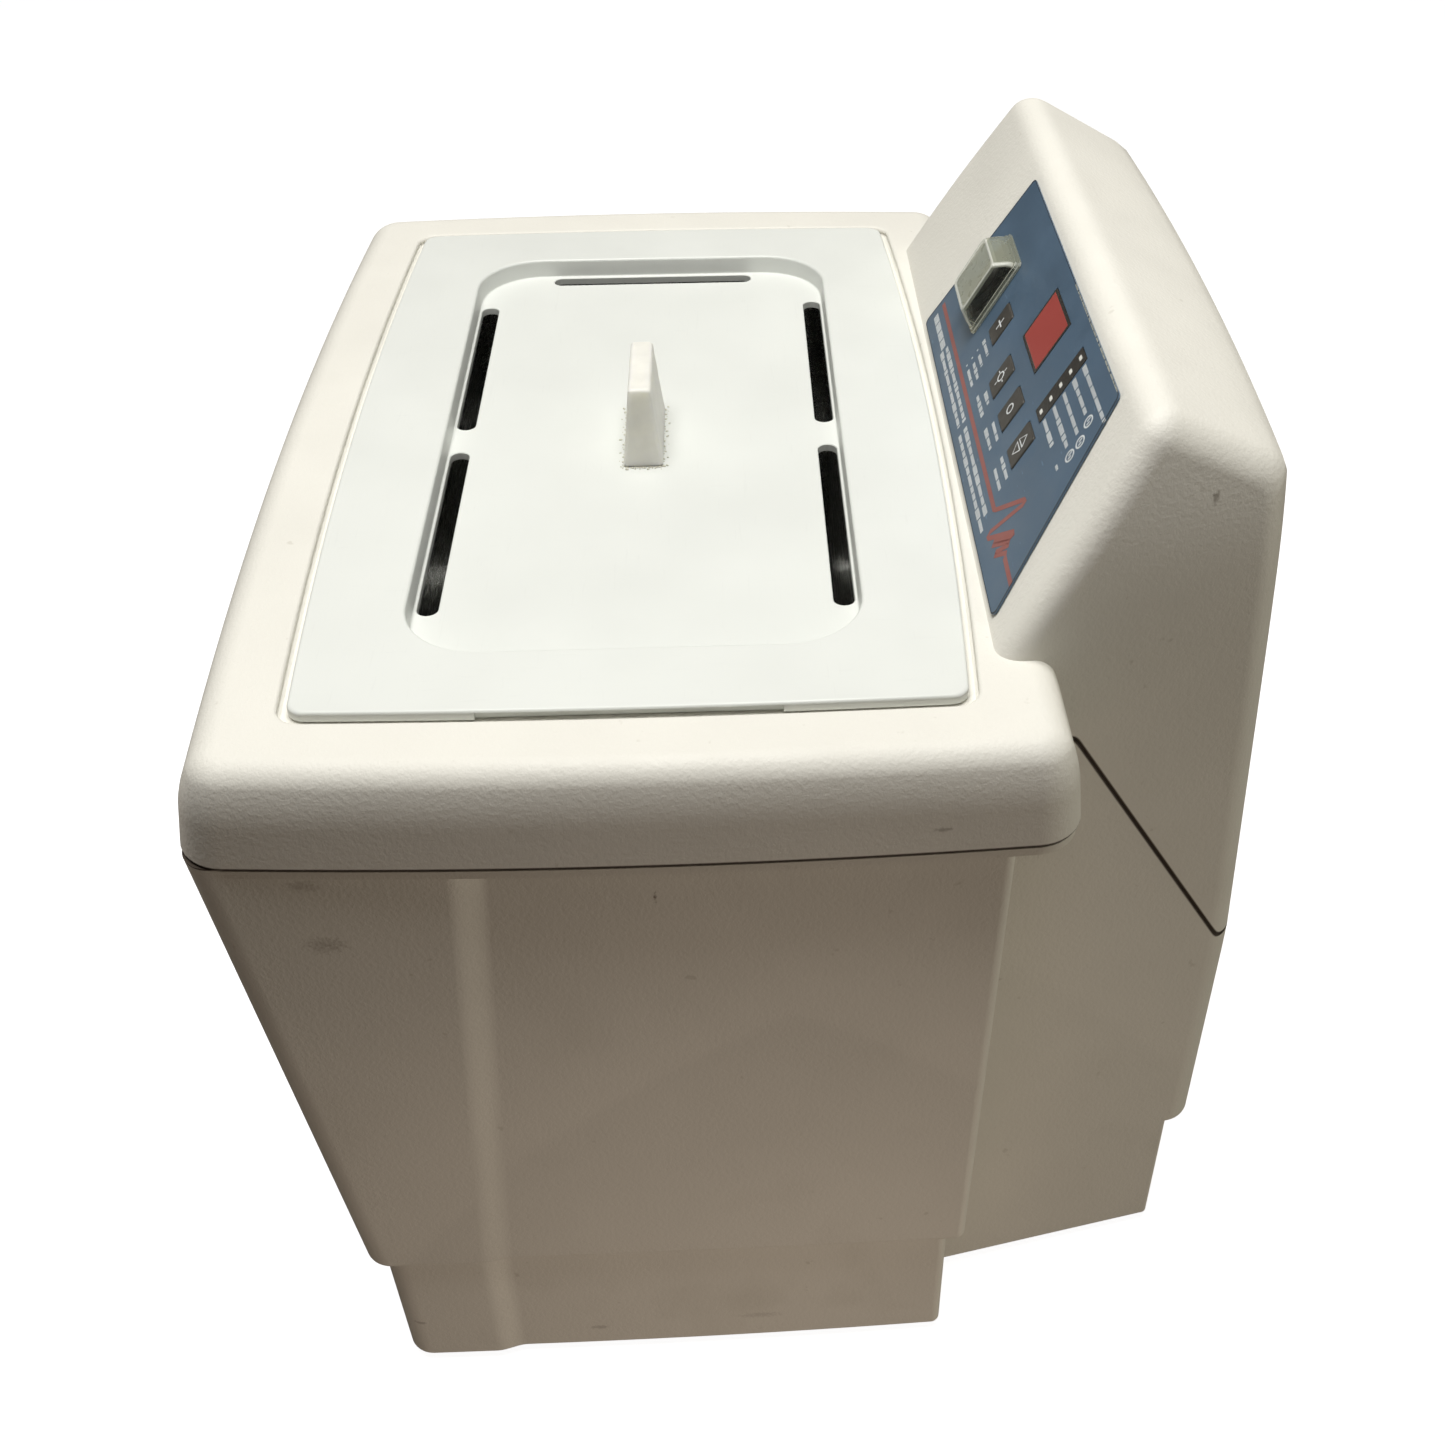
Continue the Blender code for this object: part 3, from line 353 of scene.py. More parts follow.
def rounded_polygon(corners, radii, steps):
    """A polygon whose corners are replaced with arcs of the given radii."""
    points = []
    count = len(corners)
    for i, radius in enumerate(radii):
        before, corner, after = (Vector(corners[k % count]) for k in (i - 1, i, i + 1))
        if not radius:
            points.append(tuple(corner))
            continue
        u, v = (before - corner).normalized(), (after - corner).normalized()
        half = u.angle(v) / 2
        centre = corner + (u + v).normalized() * (radius / math.sin(half))
        start = corner + u * (radius / math.tan(half)) - centre
        turn = math.pi - 2 * half
        sign = 1 if (u.x * v.y - u.y * v.x) < 0 else -1
        for k in range(steps + 1):
            angle = sign * turn * k / steps
            c, s = math.cos(angle), math.sin(angle)
            points.append((centre.x + start.x * c - start.y * s, centre.y + start.x * s + start.y * c))
    return points


def share(pair, t):
    return pair[0] + (pair[1] - pair[0]) * t


def quarter_round(radius, steps):
    """Pairs that follow a rounded edge: the first of each falls from radius to 0, the second rises to it."""
    angles = [math.radians(90 * i / steps) for i in range(steps + 1)]
    return [(radius * (1 - math.sin(a)), radius * (1 - math.cos(a))) for a in angles]


def rim_outline(inset, z):
    drop = (RIM_Z - z) / (RIM_Z - PARTING_Z)
    front = RIM_FRONT - FRONT_FLARE * drop + inset
    rear = RIM_REAR + REAR_FLARE * drop - inset
    corner = RIM_CORNER - min(inset, 0.009)
    return rounded_rect(RIM_HALF_X - inset, front, rear, corner, RIM_BOW_X, RIM_BOW_FRONT)


def rim_curve():
    """Inset and height up the rim's rounded edge: a long easy curve, then a tight one on to the top."""
    low, turn = math.radians(88), math.radians(70)
    easy_steps, tight_steps = 8, 12
    points = []
    for i in range(easy_steps):
        a = share((low, turn), i / easy_steps)
        points.append((RIM_DRAFT / 2 + RIM_EASE * (math.sin(low) - math.sin(a)),
                       RIM_Z - RIM_ROUND * (1 - math.cos(turn)) - RIM_EASE * (math.cos(turn) - math.cos(a))))
    start = RIM_DRAFT / 2 + RIM_EASE * (math.sin(low) - math.sin(turn))
    for i in range(tight_steps + 1):
        a = share((turn, 0.0), i / tight_steps)
        points.append((start + RIM_ROUND * (math.sin(turn) - math.sin(a)),
                       RIM_Z - RIM_ROUND * (1 - math.cos(a))))
    return points


def pan_outline(extra):
    return rounded_rect(PAN_HALF_X + extra, -PAN_HALF_Y - extra, PAN_HALF_Y + extra, PAN_CORNER + extra)


def tank_outline(reach, corner_change=0.0):
    half_y = TANK_HALF_Y + reach
    return rounded_rect(TANK_HALF_X + reach, -half_y, half_y, TANK_CORNER + reach + corner_change)


def lid_outline(extra, radius):
    return rounded_rect(LID_HALF_X + extra, -LID_HALF_Y - extra, LID_HALF_Y + extra, radius,
                        LID_BOW_X, LID_BOW_Y, LID_BOW_Y)


def side_x(y, z):
    return SIDE_X - SIDE_TAPER * (y - SIDE_Y) - SIDE_DRAFT * z


def offset_profile(points, distance):
    """A closed outline moved in by a distance, with its corners where the moved sides meet."""
    lines = []
    for (y0, z0), (y1, z1) in zip(points, points[1:] + points[:1]):
        direction = Vector((y1 - y0, z1 - z0)).normalized()
        lines.append((Vector((y0, z0)) + Vector((direction.y, -direction.x)) * distance, direction))
    result = []
    for (p, d), (q, e) in zip(lines[-1:] + lines[:-1], lines):
        result.append(tuple(p + d * ((q - p).cross(e) / d.cross(e))))
    return result


def half_width(y, z):
    """Half the width of the rear body: upright sides that lean in above SIDE_FOLD_Z, with a soft fold."""
    fold = 0.0048
    upright = side_x(y, z)
    leaning = side_x(y, SIDE_FOLD_Z) - SIDE_LEAN * (z - SIDE_FOLD_Z)
    return (upright + leaning - math.hypot(upright - leaning, fold)) / 2


def rear_profile(inset, bottom):
    """The rear body from the side, moved in by inset: up its front, over the top and down its back.

    The levels come closer together towards the top.
    """
    kink_round = 0.030
    foot = (FACE_BASE_Y - FACE_FOOT_DROP / math.tan(FACE_ANGLE), RIM_Z - FACE_FOOT_DROP)
    corners = [(foot[0], 0.0), foot, APEX, REAR_TOP, (REAR_Y, REAR_KINK_Z), (REAR_Y, 0.0)]
    round_top = max(TOP_ROUND - inset, 0.0015)
    radii = [0, 0, round_top, round_top, kink_round, 0]
    outline = rounded_polygon(offset_profile(corners, inset), radii, 10)
    sides = list(zip(outline, outline[1:] + outline[:1]))
    top = max(outline, key=lambda point: point[1])
    levels = 44
    front, back = [], []
    for i in range(levels):
        z = share((bottom, top[1]), 1 - (1 - i / levels) ** 2)
        crossings = [share((a[0], b[0]), (z - a[1]) / (b[1] - a[1])) for a, b in sides
                     if min(a[1], b[1]) <= z <= max(a[1], b[1]) and a[1] != b[1]]
        front.append((min(crossings), z))
        back.append((max(crossings), z))
    return front + [top] + back[::-1]


def rear_body(name, inset=0.0, bottom=PLINTH_TOP - 0.003):
    """The rear body: its side profile carried across the width, rounded at the sides, with a bowed back."""
    rounding = 0.0 if inset else SIDE_ROUND
    turns = [1.0] if inset else [math.sin(math.radians(10 * i)) for i in range(10)]
    columns = 24
    rows = [(-1, rounding * (1 - math.sqrt(1 - turn * turn)), rounding * (1 - turn)) for turn in turns]
    rows += [(2 * i / columns - 1, rounding, 0.0) for i in range(1, columns)]
    rows += [(1, x_inset, profile_inset) for _, x_inset, profile_inset in reversed(rows[:len(turns)])]
    start_y = APEX[0]
    bm = bmesh.new()
    rings = []
    for t, x_inset, profile_inset in rows:
        ring = []
        for y, z in rear_profile(inset + profile_inset, bottom):
            half = half_width(y, z)
            x = t * (half - inset - x_inset)
            back = min(max((y - start_y) / (REAR_TOP[0] - start_y), 0), 1)
            ring.append(bm.verts.new((x, y + back * REAR_BOW * (1 - (x / half) ** 2), z)))
        rings.append(ring)
    for near, far in zip(rings, rings[1:]):
        skin(bm, near, far)
    count = len(rings[0])
    for ring in (rings[0], rings[-1]):
        for i in range(count // 2):
            bm.faces.new(dict.fromkeys((ring[i], ring[i + 1], ring[count - 2 - i], ring[count - 1 - i])))
    return mesh_object(name, bm)


def parting_line(shift, far):
    """The joint seen from the side, with rounded kinks, closed above or below at far."""
    inside, outside = 0.02, 0.26
    level, rear_level = PARTING_Z + shift, PARTING_REAR_Z + shift
    corners = [(inside, level), (PARTING_TURN_Y, level), (PARTING_REAR_Y, rear_level), (outside, rear_level),
               (outside, far), (inside, far)]
    return rounded_polygon(corners, [0, 0.0045, 0.0045, 0, 0, 0], 5)


def parting_cutter(above, shift):
    outline = parting_line(shift, 0.45 if above else -0.05)
    return loft("cut", [[(x, y, z) for y, z in outline] for x in (-0.25, 0.25)])


def on_parting(shift):
    """A test for edges round the joint face between the housings."""
    tolerance = 2e-5
    line = [Vector(point) for point in parting_line(shift, 0.45)[:-2]]

    def near(point):
        p = Vector((point.y + Y_CENTRE, point.z))
        for a, b in zip(line, line[1:]):
            along = max(0.0, min(1.0, (p - a).dot(b - a) / (b - a).length_squared))
            if (p - (a + (b - a) * along)).length < tolerance:
                return True
        return False

    def test(edge):
        if not all(near(vert.co) for vert in edge.verts):
            return False
        first, second = edge.link_faces
        return first.normal.angle(second.normal, 0) > math.radians(30) and \
            not all(all(near(vert.co) for vert in face.verts) for face in edge.link_faces)
    return test


def panel_block(x, s, width, height, bottom=-0.02):
    low = (x - width / 2, s - height / 2, bottom)
    return block("cut", low, (x + width / 2, s + height / 2, 0.02), PANEL)


# ---- materials
def principled(name, colour, roughness, metallic=0.0):
    mat = bpy.data.materials.new(name)
    mat.use_nodes = True
    shader = mat.node_tree.nodes["Principled BSDF"]
    put(shader, Base_Color=(*colour, 1), Roughness=roughness, Metallic=metallic)
    return mat, mat.node_tree, shader


def tinted(colour, factor):
    return tuple(c * factor for c in colour)


def put(node, **inputs):
    """Set a node's inputs by name, with _ for each space."""
    for key, value in inputs.items():
        node.inputs[key.replace("_", " ")].default_value = value
    return node


def add(tree, kind, **inputs):
    return put(tree.nodes.new(kind), **inputs)


def link(output, target):
    target.id_data.links.new(output, target)


def object_place(tree):
    return tree.nodes.new("ShaderNodeTexCoord").outputs["Object"]


def noise(tree, scale, detail, stretch=None):
    node = add(tree, "ShaderNodeTexNoise", Scale=scale, Detail=detail)
    place = object_place(tree)
    if stretch:
        mapping = add(tree, "ShaderNodeMapping", Scale=stretch)
        link(place, mapping.inputs["Vector"])
        place = mapping.outputs["Vector"]
    link(place, node.inputs["Vector"])
    return node.outputs["Fac"]


def ramp(tree, value, stops):
    node = tree.nodes.new("ShaderNodeValToRGB")
    elements = node.color_ramp.elements
    while len(elements) < len(stops):
        elements.new(0.5)
    for element, (position, colour) in zip(elements, stops):
        element.position = position
        element.color = (*colour, 1)
    link(value, node.inputs["Fac"])
    return node.outputs["Color"]


def mix(tree, factor, a, b):
    node = tree.nodes.new("ShaderNodeMix")
    node.data_type = "RGBA"
    for socket, value in ((node.inputs[0], factor), (node.inputs[6], a), (node.inputs[7], b)):
        if isinstance(value, bpy.types.NodeSocket):
            link(value, socket)
        elif isinstance(value, tuple):
            socket.default_value = (*value, 1)
        else:
            socket.default_value = value
    return node.outputs[2]


def bump(tree, shader, height, distance, strength, after=None):
    node = add(tree, "ShaderNodeBump", Strength=strength, Distance=distance)
    link(height, node.inputs["Height"])
    if after:
        link(after, node.inputs["Normal"])
    link(node.outputs["Normal"], shader.inputs["Normal"])
    return node.outputs["Normal"]


def scale_value(tree, value, low, high, to_low, to_high):
    node = add(tree, "ShaderNodeMapRange", From_Min=low, From_Max=high, To_Min=to_low, To_Max=to_high)
    link(value, node.inputs["Value"])
    return node.outputs["Result"]


def shine(tree, shader, value, low, high):
    """Roughness that drifts with a value."""
    link(scale_value(tree, value, 0.3, 0.7, low, high), shader.inputs["Roughness"])


def height_above(tree):
    split = tree.nodes.new("ShaderNodeSeparateXYZ")
    link(object_place(tree), split.inputs["Vector"])
    return split.outputs["Z"]


def calculate(tree, operation, a, b, c=None):
    node = tree.nodes.new("ShaderNodeMath")
    node.operation = operation
    for socket, value in zip(node.inputs, (a, b, c)):
        if isinstance(value, bpy.types.NodeSocket):
            link(value, socket)
        elif value is not None:
            socket.default_value = value
    return node.outputs["Value"]


def along(tree, direction, offset):
    """Distance of a place along a direction, less offset."""
    node = tree.nodes.new("ShaderNodeVectorMath")
    node.operation = "DOT_PRODUCT"
    node.inputs[1].default_value = direction
    link(object_place(tree), node.inputs[0])
    return calculate(tree, "SUBTRACT", node.outputs["Value"], offset)


def joint_shade(tree):
    """1 in the groove between the housings, 0 away from it: where shade is painted along the joint."""
    bend = 0.004
    slope = Vector((PARTING_REAR_Y - PARTING_TURN_Y, PARTING_REAR_Z - PARTING_Z)).normalized()
    across = (0.0, -slope.y, slope.x)
    level = along(tree, (0, 0, 1), PARTING_Z)
    sloping = along(tree, across, (PARTING_TURN_Y - Y_CENTRE) * across[1] + PARTING_Z * across[2])
    rear = along(tree, (0, 0, 1), PARTING_REAR_Z)
    joint = calculate(tree, "SMOOTH_MIN", calculate(tree, "SMOOTH_MAX", level, sloping, bend), rear, bend)
    distance = calculate(tree, "ABSOLUTE", joint, None)
    return scale_value(tree, distance, 0.0006, 0.0011, 1.0, 0.0)


def scuff(tree, base, place, reach, colour, amount):
    """A small worn mark round a place; reach is its half size along X, Y and Z."""
    middle = (place[0], place[1] - Y_CENTRE, place[2])
    mapping = add(tree, "ShaderNodeMapping", Location=middle, Scale=reach)
    mapping.vector_type = "TEXTURE"
    link(object_place(tree), mapping.inputs["Vector"])
    length = tree.nodes.new("ShaderNodeVectorMath")
    length.operation = "LENGTH"
    link(mapping.outputs["Vector"], length.inputs[0])
    ragged = calculate(tree, "MULTIPLY_ADD", noise(tree, 900.0, 3.0), 1.6, length.outputs["Value"])
    return mix(tree, scale_value(tree, ragged, 1.2, 1.8, amount, 0.0), base, colour)


def moulded(name, colour, pebble, smudge=0.25, roughness=0.55, scuffs=()):
    """Pebbled foam moulding: fine grain, faint mottling, smudges that gather low down, and painted shade
    along the joint.
    """
    mat, tree, shader = principled(name, colour, roughness)
    mottling = ramp(tree, noise(tree, 11.0, 5.0), [(0.35, tinted(colour, 0.955)), (0.65, colour)])
    grime = tuple(c * f for c, f in zip(colour, (0.62, 0.60, 0.55)))
    blotch = scale_value(tree, noise(tree, 17.0, 6.0), 0.58, 0.74, 0.0, smudge)
    low_down = scale_value(tree, height_above(tree), 0.02, 0.24, 1.0, 0.25)
    dirty = mix(tree, calculate(tree, "MULTIPLY", blotch, low_down), mottling, grime)
    specks = scale_value(tree, noise(tree, 160.0, 2.0), 0.73, 0.78, 0.0, 0.35)
    worn = mix(tree, specks, dirty, grime)
    for place, reach, amount in scuffs:
        worn = scuff(tree, worn, place, reach, (0.16, 0.13, 0.10), amount)
    # painted shade: a near-black band along the groove between the housings
    worn = mix(tree, joint_shade(tree), worn, (0.055, 0.040, 0.028))
    link(worn, shader.inputs["Base Color"])
    shine(tree, shader, noise(tree, 40.0, 3.0), roughness - 0.05, roughness + 0.08)
    coarse = bump(tree, shader, noise(tree, 620.0, 2.0), pebble, 0.7)
    bump(tree, shader, noise(tree, 1500.0, 1.0), pebble * 0.4, 0.6, coarse)
    return mat


def satin_cover(name, colour, roughness=0.45):
    """Smooth moulding with fine crossing scratches and a few longer scuffs."""
    mat, tree, shader = principled(name, colour, roughness)
    fine = noise(tree, 60.0, 3.0, (1.0, 14.0, 1.0))
    across = noise(tree, 55.0, 3.0, (15.0, 1.2, 1.0))
    scratch_a = scale_value(tree, fine, 0.66, 0.70, 0.0, 0.10)
    scratch_b = scale_value(tree, across, 0.67, 0.71, 0.0, 0.08)
    grey = tinted(colour, 0.80)
    clouds = ramp(tree, noise(tree, 14.0, 5.0), [(0.35, tinted(colour, 0.97)), (0.6, colour)])
    marked = mix(tree, scratch_b, mix(tree, scratch_a, clouds, grey), grey)
    link(marked, shader.inputs["Base Color"])
    shine(tree, shader, noise(tree, 30.0, 4.0), roughness - 0.06, roughness + 0.10)
    coarse = bump(tree, shader, fine, 0.00005, 0.35)
    bump(tree, shader, noise(tree, 900.0, 1.0), 0.00004, 0.35, coarse)
    return mat


def plain(name, colour, roughness, metallic=0.0, grain=400.0, depth=0.00003, vary=0.06):
    """A plain finish with fine grain, slight colour drift and uneven shine."""
    mat, tree, shader = principled(name, colour, roughness, metallic)
    drift = ramp(tree, noise(tree, grain / 8, 3.0), [(0.3, tinted(colour, 1 - vary)), (0.7, colour)])
    link(drift, shader.inputs["Base Color"])
    shine(tree, shader, noise(tree, grain / 4, 2.0), roughness * 0.88, roughness * 1.15)
    bump(tree, shader, noise(tree, grain, 2.0), depth, 0.5)
    return mat


def brushed(name, colour, roughness):
    """Metal with fine lines along X."""
    mat, tree, shader = principled(name, colour, roughness, 1.0)
    lines = noise(tree, 60.0, 4.0, (1.0, 30.0, 30.0))
    drift = ramp(tree, lines, [(0.3, tinted(colour, 0.88)), (0.7, colour)])
    link(drift, shader.inputs["Base Color"])
    shine(tree, shader, lines, roughness * 0.8, roughness * 1.3)
    bump(tree, shader, lines, 0.00002, 0.4)
    return mat


def boot_silicone():
    """Clear long sides, frosted ends and top, painted highlights on the corners and top edge, yellowed at the
    lower end.
    """
    mat, tree, shader = principled("clear_silicone", (0.66, 0.67, 0.58), 0.28)
    foot = Vector((0, FACE_BASE_Y - Y_CENTRE, RIM_Z))
    normal = Vector((0, -math.sin(FACE_ANGLE), math.cos(FACE_ANGLE)))
    uphill = Vector((0, math.cos(FACE_ANGLE), math.sin(FACE_ANGLE)))
    level = scale_value(tree, along(tree, tuple(normal), foot.dot(normal)), 0.0, 0.0100, 0.0, 1.0)
    geometry = tree.nodes.new("ShaderNodeNewGeometry")
    split = tree.nodes.new("ShaderNodeSeparateXYZ")
    link(geometry.outputs["True Normal"], split.inputs[0])
    sideways = calculate(tree, "ABSOLUTE", split.outputs["X"], None)
    flat = scale_value(tree, level, 0.84, 0.88, 0.0, 1.0)
    half, most, clear = (0.44,) * 3, (0.62,) * 3, (0.05,) * 3
    by_side = ramp(tree, sideways, [(0.0, half), (0.22, half), (0.30, most), (0.86, most), (0.93, clear)])
    walls = mix(tree, scale_value(tree, level, 0.27, 0.30, 0.0, 1.0), (0.40,) * 3, by_side)
    link(mix(tree, flat, walls, most), shader.inputs["Alpha"])
    cloudy = ramp(tree, noise(tree, 120.0, 3.0), [(0.3, (0.37, 0.385, 0.30)), (0.7, (0.39, 0.405, 0.32))])
    up_panel = along(tree, tuple(uphill), foot.dot(uphill))
    low_end = scale_value(tree, up_panel, SWITCH[1] - 0.0150, SWITCH[1] - 0.0125, 1.0, 0.0)
    aged = mix(tree, low_end, cloudy, (0.62, 0.59, 0.40))
    # painted highlights: pale colour on the rounded upright corners and a pale band along the top edge
    none, corner_highlight_amount = (0.0,) * 3, (0.7,) * 3
    corner = ramp(tree, sideways, [(0.22, none), (0.34, corner_highlight_amount), (0.80, corner_highlight_amount), (0.92, none)])
    rim = scale_value(tree, level, 0.958, 0.968, 0.0, 1.0)
    pale = (0.80, 0.81, 0.74)
    link(mix(tree, rim, mix(tree, corner, aged, pale), pale), shader.inputs["Base Color"])
    shine(tree, shader, noise(tree, 300.0, 2.0), 0.22, 0.38)
    bump(tree, shader, noise(tree, 380.0, 2.0), 0.00005, 0.4)
    return mat


def translucent(mat, weight, reach):
    """Let light pass a little way through a thin moulding."""
    shader = mat.node_tree.nodes["Principled BSDF"]
    radius = (reach, reach, reach * 0.85)
    put(shader, Subsurface_Weight=weight, Subsurface_Radius=radius, Subsurface_Scale=1.0)


def film(name, colour):
    """Printed film: faint mottling, fine grain and a few pale scratches."""
    mat, tree, shader = principled(name, colour, 0.42)
    drift = ramp(tree, noise(tree, 45.0, 4.0), [(0.3, tinted(colour, 0.90)), (0.7, tinted(colour, 1.06))])
    scratch = scale_value(tree, noise(tree, 130.0, 4.0, (1.0, 7.0, 3.0)), 0.70, 0.74, 0.0, 0.35)
    link(mix(tree, scratch, drift, tinted(colour, 2.4)), shader.inputs["Base Color"])
    shine(tree, shader, noise(tree, 90.0, 3.0), 0.36, 0.50)
    bump(tree, shader, noise(tree, 1100.0, 2.0), 0.00003, 0.5)
    return mat


SCUFFS = [((0.1935, 0.0052, 0.2604), (0.005, 0.0007, 0.0032), 0.80),
          ((0.1925, -0.0973, 0.2734), (0.006, 0.0065, 0.0030), 0.28),
          ((0.1910, -0.0950, 0.2476), (0.006, 0.0085, 0.0048), 0.42),
          ((0.199, 0.090, 0.291), (0.004, 0.0035, 0.0012), 0.45),
          ((0.1368, 0.1724, 0.3618), (0.006, 0.0013, 0.0026), 0.60),
          ((0.185, 0.0336, 0.0183), (0.006, 0.0110, 0.0022), 0.20),
          ((0.185, -0.0296, 0.0153), (0.006, 0.0045, 0.0015), 0.28),
          ((0.187, -0.0985, 0.0267), (0.006, 0.0030, 0.0012), 0.35)]
HOUSING = moulded("housing_plastic", (0.80, 0.785, 0.725), 0.00022, scuffs=SCUFFS)
COVER = satin_cover("cover_plastic", (0.745, 0.765, 0.735))
FINGER_GRIP = plain("handle_plastic", (0.86, 0.85, 0.79), 0.45, grain=700.0, depth=0.00006, vary=0.12)
translucent(FINGER_GRIP, 0.7, 0.006)
OLD_GLUE = plain("old_glue", (0.66, 0.65, 0.55), 0.35, grain=260.0, depth=0.00008, vary=0.2)
STAINLESS = brushed("stainless_steel", (0.60, 0.60, 0.58), 0.24)
ALUMINIUM = brushed("aluminium", (0.72, 0.73, 0.74), 0.32)
STEEL = plain("zinc_steel", (0.55, 0.56, 0.57), 0.38, 1.0, 900.0)
BRASS = plain("brass", (0.68, 0.50, 0.22), 0.28, 1.0, 700.0)
CERAMIC = plain("piezo_ceramic", (0.62, 0.57, 0.45), 0.35)
RUBBER = plain("black_rubber", (0.020, 0.020, 0.021), 0.75, 0.0, 700.0, 0.00006, 0.3)
HEATER = plain("heater_silicone", (0.50, 0.13, 0.05), 0.65, 0.0, 500.0, 0.00008, 0.15)
OVERLAY = film("panel_blue", (0.082, 0.132, 0.195))
# the film's dark edge line, partly painted shade along the edge
OVERLAY_EDGE_AND_SHADE = plain("panel_edge_and_shade", (0.020, 0.030, 0.045), 0.45, 0.0, 500.0, 0.00002, 0.2)
PRINT_WHITE = plain("print_white", (0.72, 0.75, 0.76), 0.45, 0.0, 500.0, 0.00001, 0.12)
PRINT_RED = plain("print_red", (0.30, 0.095, 0.080), 0.45, 0.0, 500.0, 0.00001, 0.12)
KEYPAD = plain("key_grey", (0.062, 0.057, 0.050), 0.50, 0.0, 600.0, 0.00003, 0.15)
RED_FILTER = plain("red_filter", (0.38, 0.075, 0.065), 0.22, 0.0, 200.0, 0.00001, 0.08)
SMOKED = plain("smoked_filter", (0.050, 0.047, 0.043), 0.25, 0.0, 200.0, 0.00001, 0.1)
BLACK = plain("black_plastic", (0.018, 0.018, 0.019), 0.38, 0.0, 500.0, 0.00003, 0.2)
BOARD = plain("board_green", (0.025, 0.14, 0.055), 0.42, 0.0, 300.0, 0.00002, 0.2)
LAMP = plain("lamp_lens", (0.80, 0.80, 0.76), 0.25, 0.0, 300.0, 0.00001, 0.05)
TUBING = plain("drain_tubing", (0.68, 0.68, 0.62), 0.35, 0.0, 250.0, 0.00003, 0.06)
SILICONE = boot_silicone()

BY_SLOT = {"housing": HOUSING, "cover": COVER, "handle": FINGER_GRIP, "stainless": STAINLESS,
           "aluminium": ALUMINIUM, "steel": STEEL, "brass": BRASS, "ceramic": CERAMIC, "rubber": RUBBER,
           "silicone_clear": SILICONE, "silicone_heater": HEATER, "overlay": OVERLAY, "key": KEYPAD,
           "red_window": RED_FILTER, "dark_window": SMOKED, "black_plastic": BLACK, "board": BOARD,
           "lamp": LAMP, "tubing": TUBING}
for row in frame["record"]["subparts"]:
    obj = nodes[row["node"]]
    obj.data.materials.clear()
    obj.data.materials.append(BY_SLOT[row["material_slot"]])


def piece(obj, material, body, slot, *replaced):
    """Give a new piece its material, its body and the nodes that it stands for; slot is not used."""
    weighted = obj.modifiers.new("even normals", "WEIGHTED_NORMAL")
    weighted.keep_sharp = True
    apply_modifiers(obj)
    obj.data.materials.clear()
    obj.data.materials.append(material)
    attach(obj, body)
    if replaced:
        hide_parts(*replaced)
    return obj


# ---- upper housing
def upper_housing():
    """The rim as one closed loft from its lower edge over the top and down to the ledge, then the console."""
    edge = 0.0006
    low = PARTING_Z + 0.0001
    rings = [at_height(rim_outline(inset, low), low + rise) for inset, rise in quarter_round(edge, 3)]
    rings += [at_height(rim_outline(inset, z), z) for inset, z in rim_curve()]
    lip, corner, cove = 0.0012, 0.006, 0.0008
    rings += [at_height(lid_outline(LID_GAP + inset, corner + lip), RIM_Z - drop)
              for inset, drop in quarter_round(lip, 3)]
    rings.append(at_height(lid_outline(LID_GAP, corner), LEDGE_TOP + cove))
    rings.append(at_height(lid_outline(LID_GAP - cove, 0.0055), LEDGE_TOP))
    ledge_low = LEDGE_TOP - LEDGE_T
    rings += [at_height(tank_outline(0.0020), z) for z in (LEDGE_TOP, ledge_low)]
    rings.append(at_height(rim_outline(WALL, ledge_low), ledge_low))
    rings.append(at_height(rim_outline(WALL, low), low))
    housing = loft("upper_housing_shell", rings, ring_closed=True)
    console = rear_body("console")
    boolean(console, parting_cutter(above=False, shift=GAP))
    bevel_where(console, on_parting(GAP), edge)
    join(housing, console)
    boolean(housing, rear_body("cut", inset=2 * WALL, bottom=0.10))
    for x, s in KEYS:
        boolean(housing, panel_block(x, s, KEY_W + KEY_PLAY, KEY_H + KEY_PLAY, -0.0018))
        boolean(housing, cylinder(STEM_HOLE_RADIUS, 0.0020, -0.0120, panel_place(x, s)))
    x, s, width, height = WINDOW
    boolean(housing, panel_block(x, s, width - 0.004, height - 0.004))
    x, s, width, height = STRIP
    boolean(housing, panel_block(x, s, width - 0.003, height - 0.001))
    boolean(housing, panel_block(*SWITCH, *SWITCH_HOLE))
    piece(shade(housing, SHARP), HOUSING, "root", "housing", "upper_housing")


# ---- lower housing
def body_outline(proud, recessed, draw_in, front, step, rear):
    """The body in plan: front corner pilasters, then sides that draw in towards the back."""
    half = []
    columns, rows = 16, 10
    for i in range(columns):
        x = (proud - BODY_CORNER) * i / columns
        half.append((x, front - RIM_BOW_FRONT * (1 - (x / proud) ** 2)))
    half += [(proud - inset, front + rise) for inset, rise in quarter_round(BODY_CORNER, 10)]
    half_step = 0.006
    for i in range(rows + 1):
        t = i / rows
        ease = t * t * (3 - 2 * t)
        half.append((share((proud, recessed), ease), step - half_step + 2 * half_step * t))
    corner = 0.0035
    for i in range(1, rows):
        t = i / rows
        half.append((recessed - draw_in * t * t, share((step + half_step, rear - corner), t)))
    half += [(recessed - draw_in - inset, rear - short) for short, inset in quarter_round(corner, 6)]
    half.append((0.08, rear))
    return half + [(-x, y) for x, y in reversed(half) if x > 0]


def skirt_outline(z, inset):
    rise = (z - PLINTH_TOP) / (PARTING_Z - PLINTH_TOP)
    front, rear = share(SKIRT_FRONT, rise) + inset, share(SKIRT_REAR, rise) - inset
    return body_outline(share(PILASTER_X, rise) - inset, share(SIDE_WALL_X, rise) - inset, SIDE_DRAW_IN,
                        front, share(STEP_Y, rise), rear)


